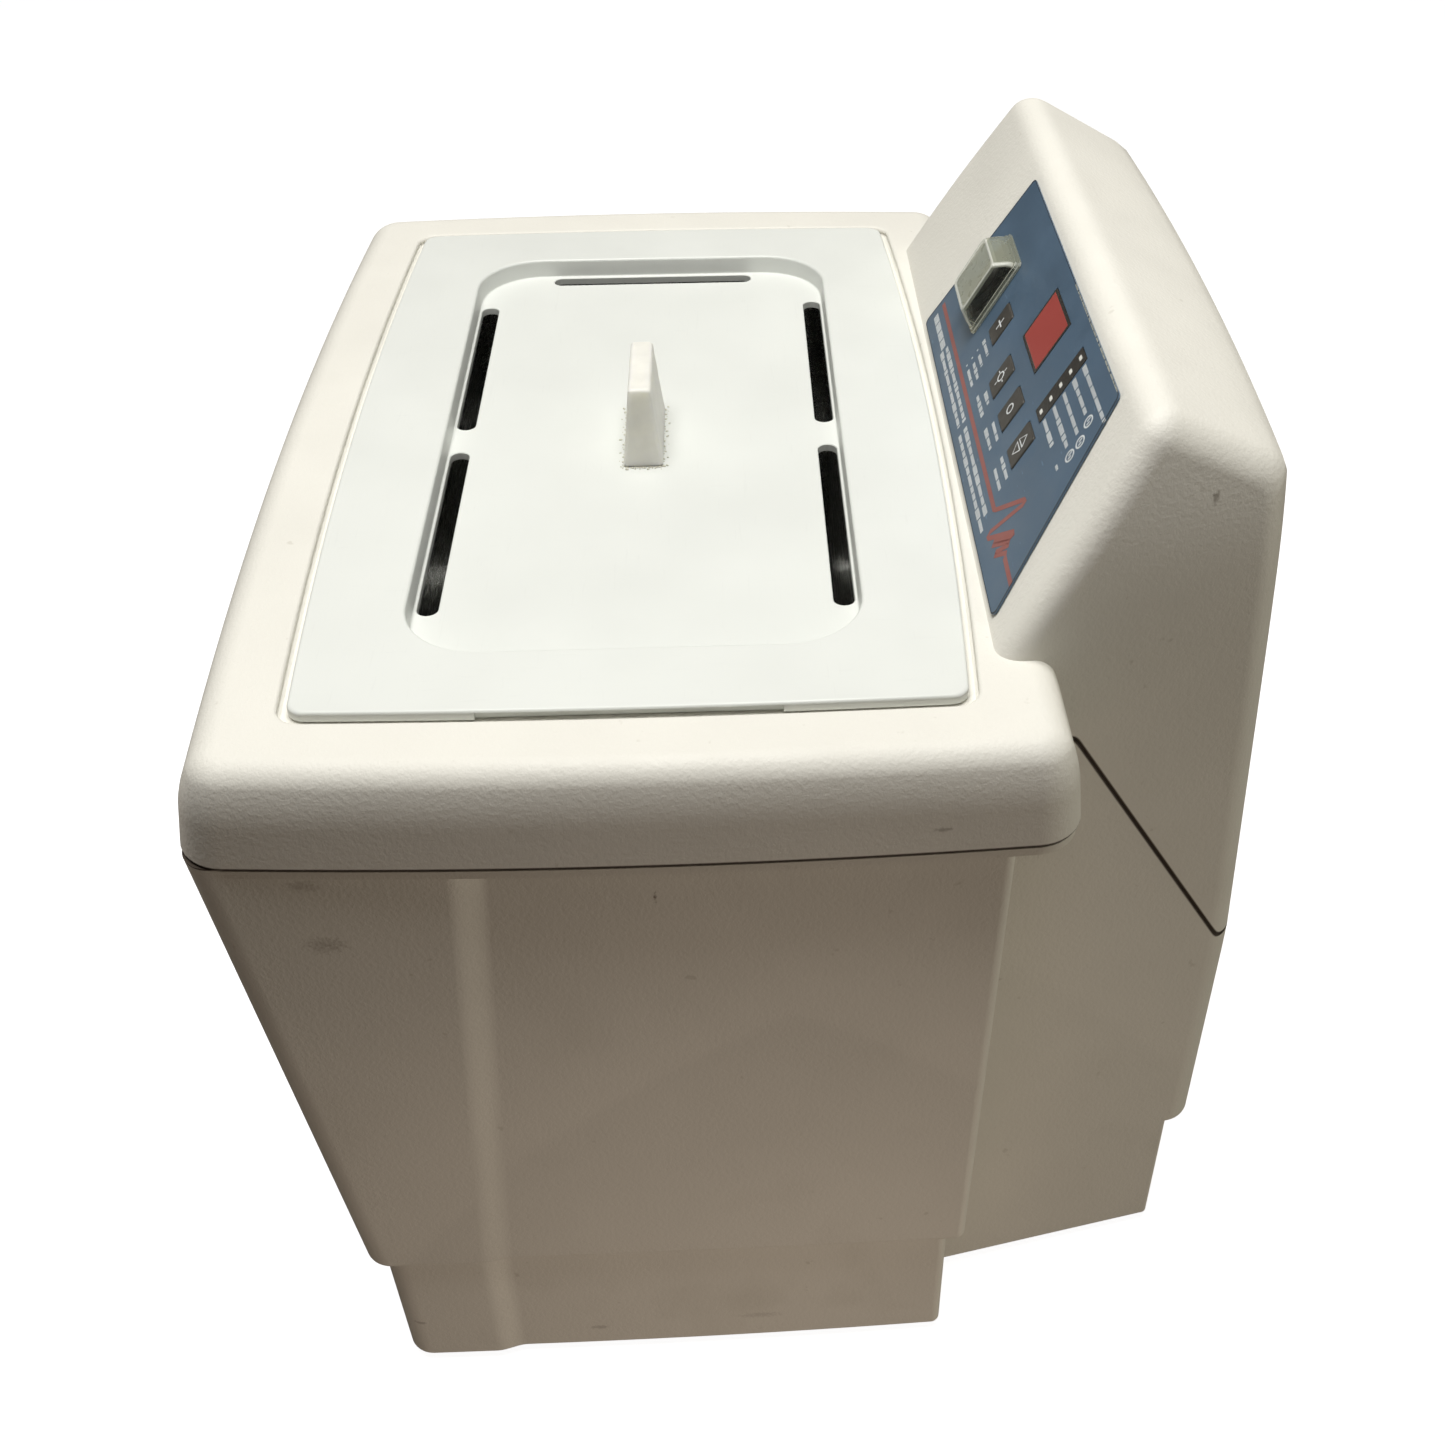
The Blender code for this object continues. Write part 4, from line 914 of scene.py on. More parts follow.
def plinth_outline(z, inset):
    rise = (z - FOOT_H) / (PLINTH_TOP - FOOT_H)
    return body_outline(PLINTH_PILASTER_X - inset, PLINTH_SIDE_X - inset, PLINTH_DRAW_IN,
                        share(PLINTH_FRONT, rise) + inset, PLINTH_STEP_Y, PLINTH_REAR - inset)


def plinth_rear(inset, z0, z1):
    back = REAR_Y - REAR_STEP - inset
    columns = [1 - i / 8 for i in range(17)]
    sections = []
    for z in (z0, z1):
        near, far = side_x(REAR_BODY_FRONT, z) - inset, side_x(back, z) - inset
        ring = [(near, REAR_BODY_FRONT)] + [(far * t, back + REAR_BOW * (1 - t * t)) for t in columns]
        sections.append(at_height(ring + [(-near, REAR_BODY_FRONT)], z))
    return sections


def lower_housing():
    top = PARTING_Z - GAP
    rounding = 0.0030
    levels = [(PLINTH_TOP - rounding, 0.0050)]
    levels += [(PLINTH_TOP - rounding + rise + 0.0002, inset) for inset, rise in quarter_round(rounding, 6)]
    levels += [(share((PLINTH_TOP, top), t), 0.0) for t in (0.25, 0.5, 0.75, 1)]
    housing = loft("lower_housing_shell", [at_height(skirt_outline(z, inset), z) for z, inset in levels])
    foot = 0.0015
    levels = [(FOOT_H + rise, inset) for inset, rise in quarter_round(foot, 4)] + [(PLINTH_TOP, 0.0)]
    join(housing, loft("cut", [at_height(plinth_outline(z, inset), z) for z, inset in levels]))
    rear_plinth = loft("cut", plinth_rear(0.0, FOOT_H, PLINTH_TOP + 0.002))
    join(housing, round_edges(rear_plinth, foot, 3, 40))
    back = rear_body("body_back")
    boolean(back, parting_cutter(above=True, shift=-GAP))
    bevel_where(back, on_parting(-GAP), 0.0006)
    join(housing, back)
    lip = [(top - LIP_H, 0.0030), (top - LIP_H + 0.0004, 0.0020), (top - LIP_H + 0.0012, 0.0010),
           (top - 0.0007, 0.0008), (top, 0.0014)]
    join(housing, loft("cut", [at_height(rim_outline(inset, PARTING_Z), z) for z, inset in lip]))
    cavity = [at_height(plinth_outline(z, WALL), z) for z in (-0.02, PLINTH_TOP)]
    cavity += [at_height(skirt_outline(z, WALL), z) for z in (PLINTH_TOP + 0.001, 0.30)]
    boolean(housing, loft("cut", cavity))
    boolean(housing, rear_body("cut", inset=2 * WALL, bottom=PLINTH_TOP + 0.001))
    boolean(housing, loft("cut", plinth_rear(WALL, -0.02, PLINTH_TOP + 0.002)))
    boolean(housing, cylinder(0.0085, 0.125, 0.10, DRAIN_AXIS))
    boolean(housing, inlet_block("cut", 0.0150, 0.19, 0.22, -0.0175, 0.0175))
    boolean(housing, inlet_block("cut", 0.0260, REAR_MOST - INLET_RECESS, 0.22, -0.0205, 0.0205))
    piece(shade(housing, SHARP), HOUSING, "root", "housing", "lower_housing")


# ---- cover
def lid():
    """One loft from the middle of the pan's underside round the cover's edge and back into the pan."""
    under = PAN_FLOOR - PAN_T
    lid_under = LID_TOP - LID_T
    edge, fillet, draft, foot = 0.0011, 0.0015, 0.0004, 0.0006
    corner = 0.005
    rings = [at_height(pan_outline(PAN_T - inset), under + rise) for inset, rise in quarter_round(fillet, 4)]
    rings.append(at_height(pan_outline(PAN_T), lid_under))
    rings.append(at_height(lid_outline(-foot, corner), lid_under))
    rings.append(at_height(lid_outline(0.0, corner), lid_under + foot))
    rings += [at_height(lid_outline(-inset, corner), LID_TOP - drop)
              for drop, inset in quarter_round(edge, 5)]
    rings += [at_height(pan_outline(extra), LID_TOP - drop) for extra, drop in quarter_round(edge, 5)]
    rings += [at_height(pan_outline(-draft - inset), PAN_FLOOR + rise)
              for rise, inset in quarter_round(foot, 4)]
    cover = loft("cover_shell", rings)
    length = SLOT_X1 - SLOT_X0
    for across in (1, -1):
        for along_y in (1, -1):
            place = at_design(across * (SLOT_X0 + SLOT_X1) / 2, along_y * SLOT_Y, 0)
            boolean(cover, slot_cutter(length, place))
        place = at_design(across * END_SLOT_X, 0, 0) @ Matrix.Rotation(math.pi / 2, 4, "Z")
        boolean(cover, slot_cutter(2 * END_SLOT_HALF_Y, place))
        low, high = sorted((across * (LID_HALF_X - GAP), across * 0.20))
        boolean(cover, block("cut", (low, -FINGER_HALF_Y, 0.29), (high, FINGER_HALF_Y, LID_TOP - 0.0008)))
    piece(shade(cover, SHARP), COVER, "cover", "cover", "lid")


def slot_cutter(length, place):
    """A round-ended slot that opens out a little at the pan's floor."""
    lip = 0.0003
    levels = [(0.0, 0.29), (0.0, PAN_FLOOR - lip), (2 * lip, PAN_FLOOR), (2 * lip, PAN_FLOOR + 0.0002)]
    return loft("cut", [at_height(stadium(length + wider, SLOT_W + wider), z) for wider, z in levels], place)


def lid_handle():
    """The glued finger grip: a thin wedge with rounded edges, and crumbs of old glue round its foot."""
    base = PAN_FLOOR + GAP
    top = 0.3383
    crown = 0.0012
    levels = [(0.0214, 0.0068, 0.0), (0.0217, 0.0071, 0.0004), (0.0211, 0.0064, 0.0060),
              (0.0202, 0.0054, 0.0150)]
    levels += [(0.0189 - inset, 0.0041 - inset, top - base - drop)
               for drop, inset in quarter_round(crown, 6)]
    rings = [rect_ring(half_x, half_y, min(0.0014, half_y * 0.6), base + rise, arc=6, run=4)
             for half_x, half_y, rise in levels]
    piece(loft("finger_grip", rings), FINGER_GRIP, "cover", "handle", "lid_handle")
    bm = bmesh.new()
    path = rounded_rect(0.0219, -0.0073, 0.0073, 0.0020, arc=5, run=22)
    for i, (x, y) in enumerate(path):
        spread = 0.5 + 0.5 * math.sin(i * 2.39)
        away = 1 + 0.22 * spread ** 4
        size = 0.00016 + 0.00030 * abs(math.sin(i * 1.71 + 0.6)) ** 2
        place = Matrix.Translation((x * (1 + 0.06 * spread ** 4), y * away, PAN_FLOOR + size * 0.4))
        turn = Matrix.Rotation(i * 1.3, 4, "Z") @ Matrix.Diagonal((1.6, 1.0, 0.6, 1.0))
        bmesh.ops.create_icosphere(bm, subdivisions=2, radius=size, matrix=place @ turn)
    piece(mesh_object("glue_crumbs", bm), OLD_GLUE, "cover", "handle")


# ---- tank
def tank():
    """Pressed tank: outside up from its floor, round the flange, and down the inside."""
    curl = 0.0025
    under = TANK_FLOOR - TANK_T
    outside = [(inset, under + rise) for inset, rise in quarter_round(TANK_FILLET, 8)]
    rings = [at_height(tank_outline(TANK_T - inset, -min(inset, 0.010)), z) for inset, z in outside]
    low = FLANGE_TOP - TANK_T
    rings.append(at_height(tank_outline(TANK_T), low - curl))
    rings += [at_height(tank_outline(TANK_T + reach), low - drop)
              for drop, reach in quarter_round(curl, 4)[1:]]
    rings += [at_height(tank_outline(FLANGE_W), z) for z in (low, FLANGE_TOP)]
    rings += [at_height(tank_outline(reach), FLANGE_TOP - drop)
              for reach, drop in quarter_round(curl + TANK_T, 4)]
    rings += [at_height(tank_outline(-inset, -min(inset, 0.010)), z + TANK_T)
              for inset, z in reversed(outside)]
    shell = loft("pressed_tank", rings)
    boolean(shell, cylinder(0.0078, TANK_FLOOR + 0.01, TANK_FLOOR - 0.02, at_design(*TANK_PORT, 0)))
    piece(shade(shell, SHARP), STAINLESS, "root", "stainless", "tank")


# ---- control panel
FILM_TOP = GAP + OVERLAY_T


def control_overlay():
    film_outline = rounded_polygon(OVERLAY_CORNERS, [0.0022] * 4, 6)
    sheet = prism("control_film", film_outline, GAP, FILM_TOP, PANEL)
    for x, s, width, height in [(*key, KEY_W, KEY_H) for key in KEYS] + [WINDOW, STRIP]:
        boolean(sheet, panel_block(x, s, width + 2 * GAP, height + 2 * GAP))
    boolean(sheet, panel_block(*SWITCH, *SWITCH_HOLE))
    piece(sheet, OVERLAY, "root", "overlay", "control_overlay")
    # a dark ring round the film's edge: partly its dark edge, partly painted shade along it
    inner = [tuple(Vector(p) * 0.9935 + Vector((0.0305, 0.0394)) * 0.0065) for p in film_outline]
    marks("film_border_and_shade", ring_shapes(film_outline, inner), OVERLAY_EDGE_AND_SHADE)


def ring_shapes(outer, inner):
    """Quads between two closed outlines of the same count."""
    count = len(outer)
    return [[outer[i], outer[(i + 1) % count], inner[(i + 1) % count], inner[i]] for i in range(count)]


def circle(x, s, radius):
    angles = [2 * math.pi * i / 20 for i in range(20)]
    return [(x + radius * math.cos(a), s + radius * math.sin(a)) for a in angles]


def ribbon(points, width):
    """Quads along an open line."""
    sides = []
    for i, point in enumerate(points):
        before, after = points[max(i - 1, 0)], points[min(i + 1, len(points) - 1)]
        direction = (Vector(after) - Vector(before)).normalized()
        offset = Vector((-direction.y, direction.x)) * width / 2
        sides.append((tuple(Vector(point) + offset), tuple(Vector(point) - offset)))
    return [[a[0], a[1], b[1], b[0]] for a, b in zip(sides, sides[1:])]


def bar(x, s, width, height):
    x0, x1, s0, s1 = x - width / 2, x + width / 2, s - height / 2, s + height / 2
    return [(x0, s0), (x1, s0), (x1, s1), (x0, s1)]


def marks(name, shapes, material, body="root", slot="overlay", base=FILM_TOP):
    """Thin printed shapes on the panel, each an outline in the panel's own x and s."""
    bm = bmesh.new()
    for shape in shapes:
        low = [bm.verts.new((x, s, base + 0.00001)) for x, s in shape]
        high = [bm.verts.new((x, s, base + 0.00005)) for x, s in shape]
        bm.faces.new(high)
        bm.faces.new(low[::-1])
        skin(bm, low, high)
    piece(mesh_object(name, bm, PANEL), material, body, slot)


def next_step(step):
    """The next of a run of uneven whole numbers below 101."""
    return (step * 29 + 17) % 101


def tick_row(x, end, s, tall=0.0021, step=1, stroke=0.00066, pitch=0.00094):
    """A row of plain ticks in uneven groups, in place of small print; step picks the grouping."""
    shapes = []
    while x < end:
        step = next_step(step)
        for k in range(3 + step % 6):
            height = tall * (0.74 + 0.26 * ((step + 3 * k) % 3 == 0))
            if x < end:
                shapes.append(bar(x, s, stroke, height))
            x += pitch
        x += 0.0007
    return shapes


def panel_print():
    shapes = tick_row(-0.0630, -0.0355, 0.0094, 0.0029, 3, 0.00076, 0.00106)
    for start, end, s, step in ((-0.0332, 0.0225, 0.0111, 5), (-0.0345, 0.0217, 0.0078, 11),
                                (0.0274, 0.0850, 0.0107, 23), (0.0276, 0.0905, 0.0072, 37)):
        shapes += tick_row(start, end, s, step=step)
    words = [(-0.0060, 0.0050, 0.0300), (-0.0013, 0.0069, 0.0260), (-0.0011, 0.0112, 0.0225),
             (-0.0016, 0.0101, 0.0190), (0.0237, 0.0310, 0.0243), (0.0198, 0.0339, 0.0202),
             (0.0447, 0.0564, 0.0241), (0.0428, 0.0561, 0.0200), (0.0673, 0.0800, 0.0238),
             (0.0687, 0.0807, 0.0196)]
    for i, (start, end, s) in enumerate(words):
        shapes += tick_row(start, end, s, 0.0019, 7 + 3 * i)
    shapes += [bar(-0.0057, s, 0.0008, 0.0008) for s in (0.0260, 0.0225, 0.0190)]
    x, s, width, _ = STRIP
    for i, reach in enumerate((0.0155, 0.0250, 0.0250, 0.0210, 0.0350)):
        row = s + (i - 2) * LED_PITCH
        start = x + width / 2 + 0.0018
        shapes += tick_row(start, start + reach, row, 0.0020, 41 + i)
        if 0 < i < 4:
            ring = start + reach + 0.0050
            shapes += ring_shapes(circle(ring, row, 0.0023), circle(ring, row, 0.0017))
            shapes.append(bar(ring - 0.0006, row + 0.0004, 0.0006, 0.0018))
            shapes.append(bar(ring + 0.0006, row - 0.0003, 0.0006, 0.0016))
    shapes += tick_row(0.1038, 0.1062, s - 2.15 * LED_PITCH, 0.0015, 71)
    marks("small_print", shapes, PRINT_WHITE)
    line = 0.0150
    wave = [(-0.0640, 0), (0.0868, 0), (0.0880, 0.0008), (0.1000, 0.0136), (0.1014, 0.0138), (0.1016, 0.0126),
            (0.0945, -0.0040), (0.0952, -0.0056), (0.0966, -0.0054), (0.1076, 0.0056), (0.1088, 0.0054),
            (0.1086, 0.0040), (0.1010, -0.0036), (0.1018, -0.0046), (0.1096, 0.0030), (0.1108, 0.0024),
            (0.1066, -0.0038), (0.1076, -0.0046), (0.1126, 0.0004), (0.1140, -0.0006), (0.1285, -0.0008)]
    marks("red_line", ribbon([(x, line + rise) for x, rise in wave], 0.0019), PRINT_RED)
    worn = []
    x, step = 0.0330, 13
    while x < 0.1050:
        step = next_step(step)
        length = 0.0008 + 0.00004 * step
        worn.append(bar(x + length / 2, 0.0755, length, 0.0005))
        x += length + 0.0003 + 0.00002 * ((step * 7) % 60)
    marks("worn_edge", worn, OLD_GLUE)


def keys():
    edge = 0.0005
    levels = [(-0.0008, 0.0)] + [(KEY_TOP - drop, inset) for drop, inset in quarter_round(edge, 4)]
    rings = [rect_ring(KEY_W / 2 - inset, KEY_H / 2 - inset, 0.0011 - inset, z, arc=5) for z, inset in levels]
    stem = [(0, -0.0005), (STEM_RADIUS, -0.0005), (STEM_RADIUS, -0.0075), (0.0015, -0.0078), (0, -0.0078)]
    for i, (x, s) in enumerate(KEYS, 1):
        place = panel_place(x, s)
        key = loft(f"keycap_{i}", rings, place)
        join(key, turned("cut", stem, place))
        piece(shade(key, SHARP), KEYPAD, f"key_{i}", "key", f"key_{i}")
        marks(f"key_symbol_{i}", key_symbol(i, x, s), PRINT_WHITE, f"key_{i}", "key", KEY_TOP)


def key_symbol(i, x, s):
    """Plain symbols: a plus, a ring with four rays, a ring, and a pair of arrowheads."""
    if i == 1:
        return [bar(x, s, 0.0050, 0.0006)] + [bar(x, s + rise, 0.0006, 0.0022) for rise in (0.0014, -0.0014)]
    if i == 4:
        shapes = []
        for side in (1, -1):
            foot = s + side * 0.0006
            start = (x + 0.0026, foot)
            shapes += ribbon([start, (x, s + side * 0.0042), (x - 0.0026, foot), start], 0.00055)
        return shapes
    shapes = ring_shapes(circle(x, s, 0.0021), circle(x, s, 0.0015))
    if i == 2:
        reach, narrow, long = 0.0031, 0.0005, 0.0013
        for side in (1, -1):
            shapes.append(bar(x + side * reach, s, long, narrow))
            shapes.append(bar(x, s + side * reach, narrow, long))
    return shapes


def windows():
    top = FILM_TOP + 0.0002
    shoulder = top - 0.00006
    x, s, width, height = WINDOW
    place = panel_place(x, s)
    bezel = [rect_ring(width / 2, height / 2, 0.0009, z) for z in (GAP, top - 0.00008)]
    piece(loft("display_bezel", bezel, place), SMOKED, "root", "dark_window")
    border = 0.0011
    rings = [rect_ring(width / 2 - border - inset, height / 2 - border - inset, 0.0006, z)
             for inset, z in ((0.0, GAP), (0.0, shoulder), (0.0002, top))]
    piece(loft("display_filter", rings, place), RED_FILTER, "root", "red_window", "display_window")
    x, s, width, height = STRIP
    place = panel_place(x, s)
    strip = [rect_ring(width / 2, height / 2, 0.0008, z) for z in (GAP, top - 0.00008)]
    piece(loft("lamp_strip", strip, place), SMOKED, "root", "dark_window", "indicator_window")
    rings = [rect_ring(0.0012 - inset, 0.0007 - inset, 0.0003, z, arc=3, run=1)
             for inset, z in ((0.0, GAP), (0.0, shoulder), (0.00015, top))]
    for i in range(5):
        lens = loft(f"lamp_lens_{i + 1}", rings, place @ Matrix.Translation((0, (i - 2) * LED_PITCH, 0)))
        piece(lens, LAMP, "root", "lamp")


def rocker_switch():
    low = FILM_TOP + GAP
    place = panel_place(*SWITCH)
    levels = [(0.0095, 0.0105, -0.0180), (0.0095, 0.0105, low), (0.0108, 0.0123, low),
              (0.0108, 0.0123, low + 0.0010), (0.0105, 0.0120, low + 0.0014), (0.0101, 0.0116, low + 0.0016)]
    rings = [rect_ring(half_x, half_s, 0.0008, z, run=2) for half_x, half_s, z in levels]
    switch_frame = loft("switch_frame", rings, place)
    boolean(switch_frame, block("cut", (-0.0078, -0.0095, -0.0080), (0.0078, 0.0095, 0.02), place))
    piece(shade(switch_frame, SHARP), BLACK, "root", "black_plastic", "switch_body")
    half, end_top, dip = 0.0088, 0.0050, 0.0020
    outline = [(-half, -0.0020), (half, -0.0020), (half, end_top)]
    outline += [(half - 2 * half * i / 12, end_top - dip + dip * (1 - 2 * i / 12) ** 2) for i in range(1, 12)]
    outline.append((-half, end_top))
    sections = [[(side * 0.0074, across, height) for across, height in outline] for side in (-1, 1)]
    tilt = Matrix.Translation((0, 0, 0.0020)) @ Matrix.Rotation(-ROCKER_THROW / 2, 4, "X")
    rocker = round_edges(loft("rocker", sections, place @ tilt), 0.0004, 2, 35)
    piece(shade(rocker, SHARP), BLACK, "rocker", "black_plastic", "switch_rocker")
    shell = [(0.0136, 0.0158, 0.0), (0.0136, 0.0158, 0.0008), (0.0134, 0.0156, 0.0010),
             (0.0132, 0.0149, 0.0011), (0.0132, 0.0149, 0.0019), (0.0131, 0.0147, 0.0021),
             (0.0128, 0.0141, 0.0022),
             (0.0127, 0.0140, 0.0030), (0.0125, 0.0133, 0.0045), (0.0122, 0.0110, 0.0078),
             (0.0120, 0.0105, 0.0086), (0.0116, 0.0101, 0.0088), (0.0111, 0.0096, 0.0087),
             (0.0107, 0.0092, 0.0084)]
    hollow = [(0.0112, 0.0127, -0.001), (0.0112, 0.0127, 0.0042), (0.0107, 0.0095, 0.0079)]
    boot_place = place @ Matrix.Translation((0, 0, low))
    rings = [rect_ring(half_x, half_s, 0.0022, z, arc=6) for half_x, half_s, z in shell]
    boot = loft("switch_cap", rings, boot_place)
    rings = [rect_ring(half_x, half_s, 0.0010, z) for half_x, half_s, z in hollow]
    boolean(boot, loft("cut", rings, boot_place))
    piece(shade(boot), SILICONE, "root", "silicone_clear", "switch_boot")


# ---- drain valve
DRAIN_AXIS = at_design(DRAIN_X, 0, DRAIN_Z) @ Matrix.Rotation(-math.pi / 2, 4, "X")
LEVER_AXIS = at_design(0, LEVER_Y, DRAIN_Z) @ Matrix.Rotation(-math.pi / 2, 4, "Y")


def drain_valve():
    """Ball valve with an eight-sided body and a barbed hose tail, and its lever."""
    profile = [(0.0040, 0.0990), (0.0071, 0.0990), (0.0075, 0.0994), (0.0075, 0.1126)]
    profile += [(0.0090, 0.1126), (0.0090, 0.1380), (0.0062, 0.1388)]
    for i in range(4):
        y = 0.1392 + 0.0050 * i
        profile += [(0.0056, y), (0.0065, y + 0.0008), (0.0056, y + 0.0046)]
    profile += [(0.0052, 0.1600), (0.0040, 0.1600)]
    body = turned("valve_core", profile, DRAIN_AXIS, 40)
    turns = [math.pi * k / 4 for k in range(8)]
    ends = ((0.0124, 0.1126), (0.0135, 0.1134), (0.0135, 0.1382), (0.0124, 0.1390))
    rings = [[(radius * math.cos(a), radius * math.sin(a), y) for a in turns] for radius, y in ends]
    sleeve = loft("cut", rings, DRAIN_AXIS)
    boolean(sleeve, cylinder(0.0080, 0.16, 0.10, DRAIN_AXIS, 40))
    join(body, sleeve)
    neck = [(0, 0.1750), (0.0055, 0.1750), (0.0055, 0.1856), (0.0051, 0.1860), (0, 0.1860)]
    join(body, turned("cut", neck, LEVER_AXIS))
    piece(shade(body, SHARP), BRASS, "root", "brass", "drain_valve_body")
    profile = [(0, 0.1863), (0.0060, 0.1863), (0.0060, 0.1915), (0.0055, 0.1920), (0, 0.1920)]
    hub = turned("valve_lever", profile, LEVER_AXIS)
    levels = [(0.0015, 0.0045, 0.002), (0.0015, 0.0045, -0.006), (0.0013, 0.0036, -0.014),
              (0.0014, 0.0040, -0.024), (0.0015, 0.0045, -0.032), (0.0011, 0.0036, -0.034)]
    rings = [rect_ring(half_x, half_y, half_x * 0.6, z, run=2) for half_x, half_y, z in levels]
    join(hub, loft("cut", rings, at_design(-0.1890, LEVER_Y, DRAIN_Z)))
    piece(shade(hub, SHARP), BLACK, "drain_lever", "black_plastic", "drain_lever")


# ---- mains inlet, feet
def inlet_block(name, half_x, y0, y1, low, high, x=0.0, bevel=0.0):
    """A block whose low and high count from the mains inlet's axis."""
    return block(name, (x - half_x, y0, INLET_Z + low), (x + half_x, y1, INLET_Z + high), bevel=bevel)


def mains_inlet():
    """Flanged mains socket with three blades and a fuse drawer above."""
    axis = at_design(0, 0, INLET_Z) @ Matrix.Rotation(math.pi / 2, 4, "X")
    edge = 0.0005
    levels = [(0.0, REAR_MOST - INLET_RECESS + GAP), (0.0, REAR_MOST - edge),
              (edge * 0.3, REAR_MOST - edge * 0.3), (edge, REAR_MOST)]
    rings = [rect_ring(0.0250 - inset, 0.0195 - inset, 0.0040 - inset, -depth, arc=6)
             for inset, depth in levels]
    inlet = loft("mains_socket", rings, axis)
    join(inlet, inlet_block("cut", 0.0142, 0.183, REAR_MOST - edge, -0.0168, 0.0168, bevel=0.0008))
    well = [(-0.0115, -0.0135), (0.0115, -0.0135), (0.0115, 0.0010), (0.0080, 0.0045), (-0.0080, 0.0045),
            (-0.0115, 0.0010)]
    boolean(inlet, prism("cut", rounded_polygon(well, [0.001] * 6, 4), -0.193, -0.23, axis))
    boolean(inlet, inlet_block("cut", 0.0105, 0.190, 0.23, 0.0065, 0.0145))
    countersink = [(0, 0.23), (0.0034, 0.23), (0.0018, REAR_MOST - 0.001), (0, REAR_MOST - 0.001)]
    for x in (-0.0200, 0.0200):
        screw_axis = at_design(x, 0, INLET_Z) @ Matrix.Rotation(-math.pi / 2, 4, "X")
        boolean(inlet, turned("cut", countersink, screw_axis, 24))
    for x, z in ((-0.0070, -0.0070), (0.0, -0.0025), (0.0070, -0.0070)):
        join(inlet, inlet_block("cut", 0.001, 0.190, 0.208, z - 0.002, z + 0.002, x, 0.0004))
    piece(shade(inlet, SHARP), BLACK, "root", "black_plastic", "mains_inlet")
    drawer = inlet_block("fuse_tray", 0.0102, 0.1905, REAR_MOST, 0.0068, 0.0142, bevel=0.0004)
    boolean(drawer, inlet_block("cut", 0.0030, REAR_MOST - 0.0006, 0.23, 0.0120, 0.0150))
    piece(shade(drawer, SHARP), BLACK, "root", "black_plastic", "fuse_drawer")


def feet():
    top = BASE_Z - GAP
    profile = [(0, top), (0.0120, top), (0.0112, 0.0012), (0.0108, 0.0003), (0.0100, 0.0), (0.0050, 0.0),
               (0.0046, 0.0004), (0.0046, 0.0030), (0, 0.0030)]
    for corner, (x, y) in FEET.items():
        foot = turned(f"bumper_{corner}", profile, at_design(x, y, 0), 40)
        piece(foot, RUBBER, "root", "rubber", f"foot_{corner}")


upper_housing()
lower_housing()
lid()
lid_handle()
tank()
control_overlay()
panel_print()
keys()
windows()
rocker_switch()
drain_valve()
mains_inlet()
feet()


# ---- stage, light and camera
def stage_floor():
    bm = bmesh.new()
    bmesh.ops.create_grid(bm, x_segments=1, y_segments=1, size=6)
    floor = mesh_object("floor", bm, Matrix.Identity(4))
    mat, _, shader = principled("floor_white", (0.40, 0.40, 0.40), 0.9)
    put(shader, Emission_Color=(1, 1, 1, 1), Emission_Strength=0.93)
    floor.data.materials.append(mat)
    floor.visible_diffuse = False
    floor.visible_glossy = False


def area_light(name, place, target, size, power, colour):
    light = bpy.data.lights.new(name, "AREA")
    light.shape = "DISK"
    light.size = size
    light.energy = power
    light.color = colour
    obj = bpy.data.objects.new(name, light)
    obj.location = place
    obj.rotation_euler = (Vector(target) - Vector(place)).to_track_quat("-Z", "Y").to_euler()
    obj.visible_camera = False
    scene.collection.objects.link(obj)


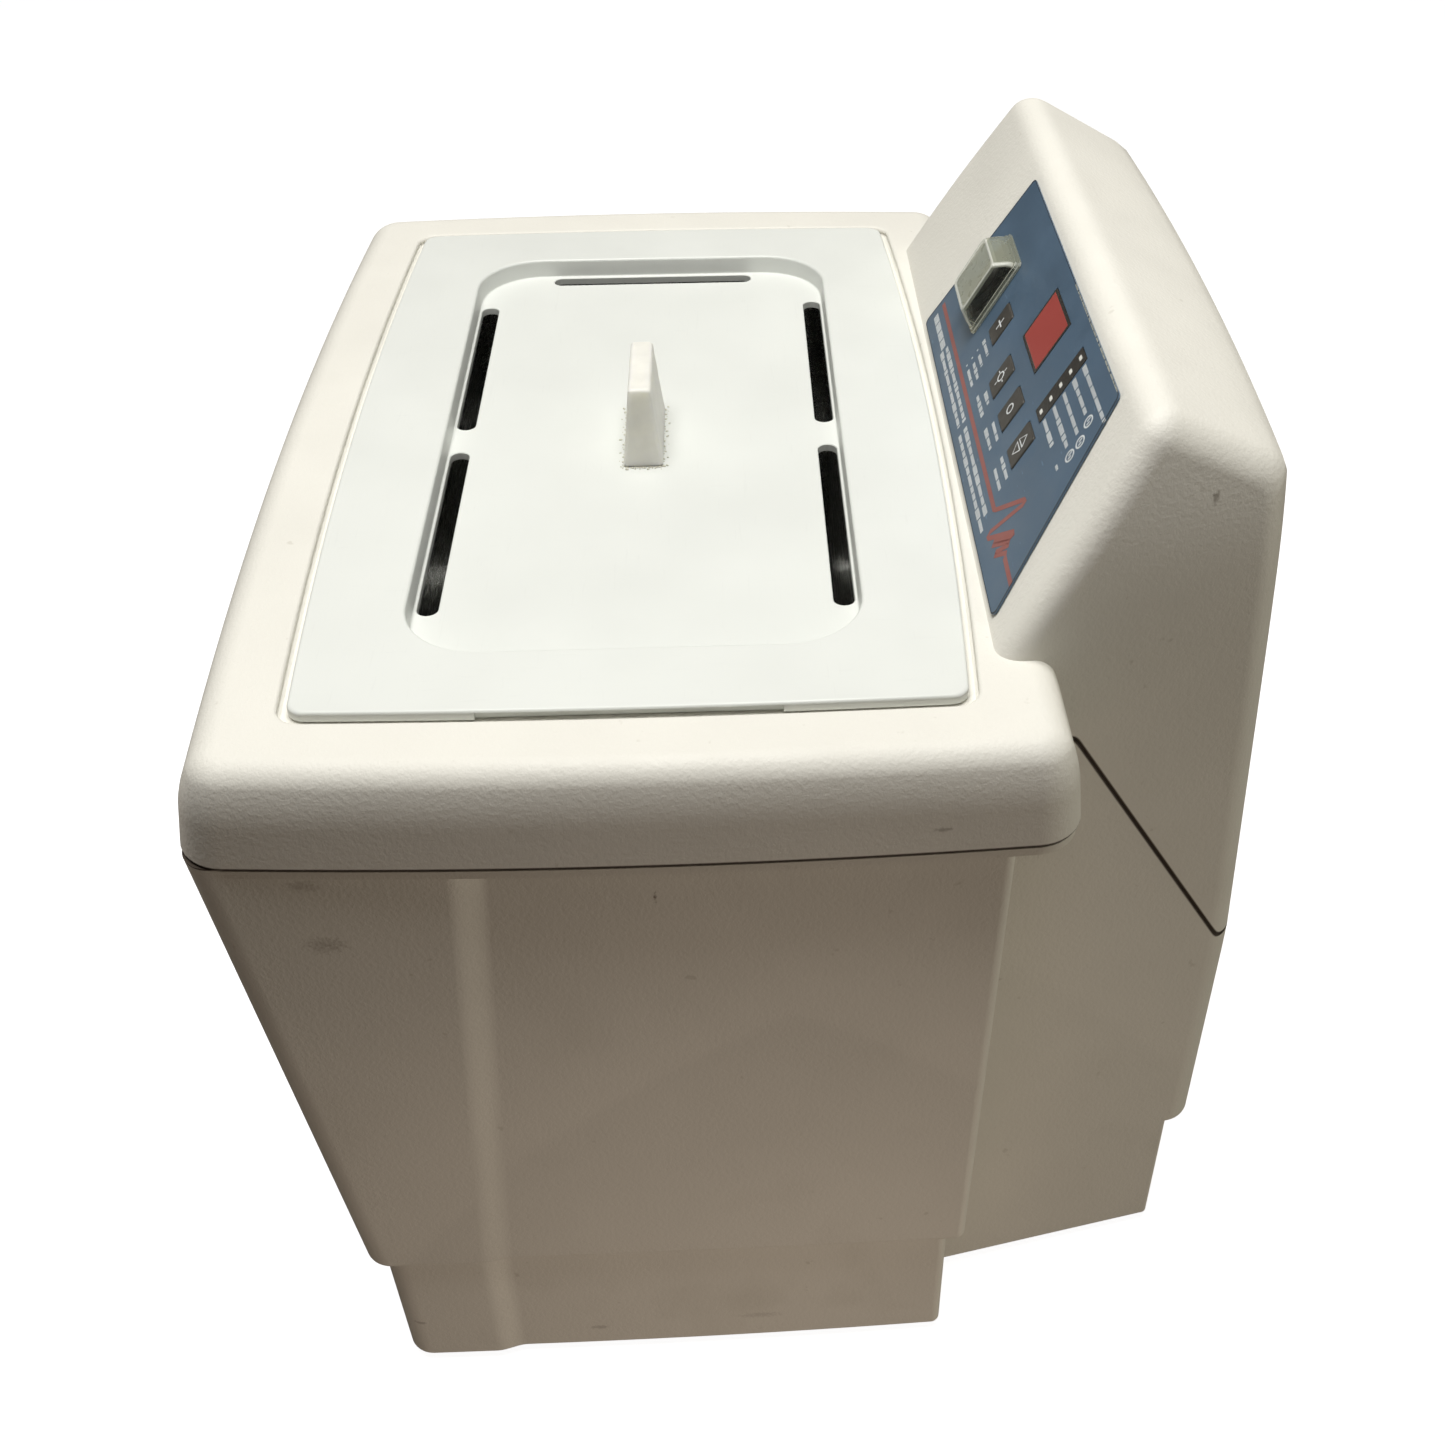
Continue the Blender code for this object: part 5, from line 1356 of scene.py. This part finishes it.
def world_light():
    """White to the camera; to the object a dim warm surround."""
    world = bpy.data.worlds.new("studio")
    world.use_nodes = True
    tree = world.node_tree
    tree.nodes.clear()
    seen = add(tree, "ShaderNodeBackground", Color=(1, 1, 1, 1), Strength=1.0)
    surround = add(tree, "ShaderNodeBackground", Color=(1.0, 0.75, 0.56, 1), Strength=0.038)
    path = tree.nodes.new("ShaderNodeLightPath")
    chosen = tree.nodes.new("ShaderNodeMixShader")
    output = tree.nodes.new("ShaderNodeOutputWorld")
    link(path.outputs["Is Camera Ray"], chosen.inputs[0])
    link(surround.outputs[0], chosen.inputs[1])
    link(seen.outputs[0], chosen.inputs[2])
    link(chosen.outputs[0], output.inputs["Surface"])
    scene.world = world


CAMERA_PLACE = Vector((0.5581, 0.0321 - Y_CENTRE, 0.6226 + FOOT_H))
CAMERA_YAW = math.radians(1.9465)
CAMERA_PITCH = math.radians(39.5655)
CAMERA_ROLL = math.radians(-0.3322)
LENS_MM = 42.614
SENSOR_MM = 36.0
LENS_SHIFT = (-0.0432, 0.0079)


def camera():
    """The photo's view, solved from its perspective."""
    data = bpy.data.cameras.new("camera")
    data.lens = LENS_MM
    data.sensor_width = SENSOR_MM
    data.shift_x, data.shift_y = LENS_SHIFT
    data.clip_start = 0.01
    obj = bpy.data.objects.new("camera", data)
    level = math.cos(CAMERA_PITCH)
    forward = Vector((-level * math.cos(CAMERA_YAW), level * math.sin(CAMERA_YAW), -math.sin(CAMERA_PITCH)))
    right = forward.cross(Vector((0, 0, 1))).normalized()
    up = right.cross(forward)
    tilted_right = right * math.cos(CAMERA_ROLL) + up * math.sin(CAMERA_ROLL)
    tilted_up = up * math.cos(CAMERA_ROLL) - right * math.sin(CAMERA_ROLL)
    turn = Matrix((tilted_right, tilted_up, -forward)).transposed().to_4x4()
    obj.matrix_world = Matrix.Translation(CAMERA_PLACE) @ turn
    scene.collection.objects.link(obj)
    scene.camera = obj


stage_floor()
world_light()
area_light("overhead", (0.05, -0.08, 1.60), (0, 0, 0.25), 0.9, 22.5, (1.0, 0.990, 0.955))
area_light("floor_bounce", (0.44, 0.02, 0.01), (0.18, 0.01, 0.03), 0.42, 0.30, (1.0, 0.83, 0.68))
area_light("front_bounce", (0.0, -0.60, 0.01), (0.0, -0.16, 0.05), 0.42, 0.50, (1.0, 0.90, 0.78))
area_light("left_bounce", (-0.58, 0.0, 0.01), (-0.18, 0.0, 0.05), 0.42, 0.45, (1.0, 0.90, 0.78))
area_light("rear_fill", (0.30, 1.20, 0.02), (0.14, 0.15, 0.20), 0.6, 6.0, (1.0, 0.96, 0.80))
camera()
scene.view_settings.view_transform = "Standard"
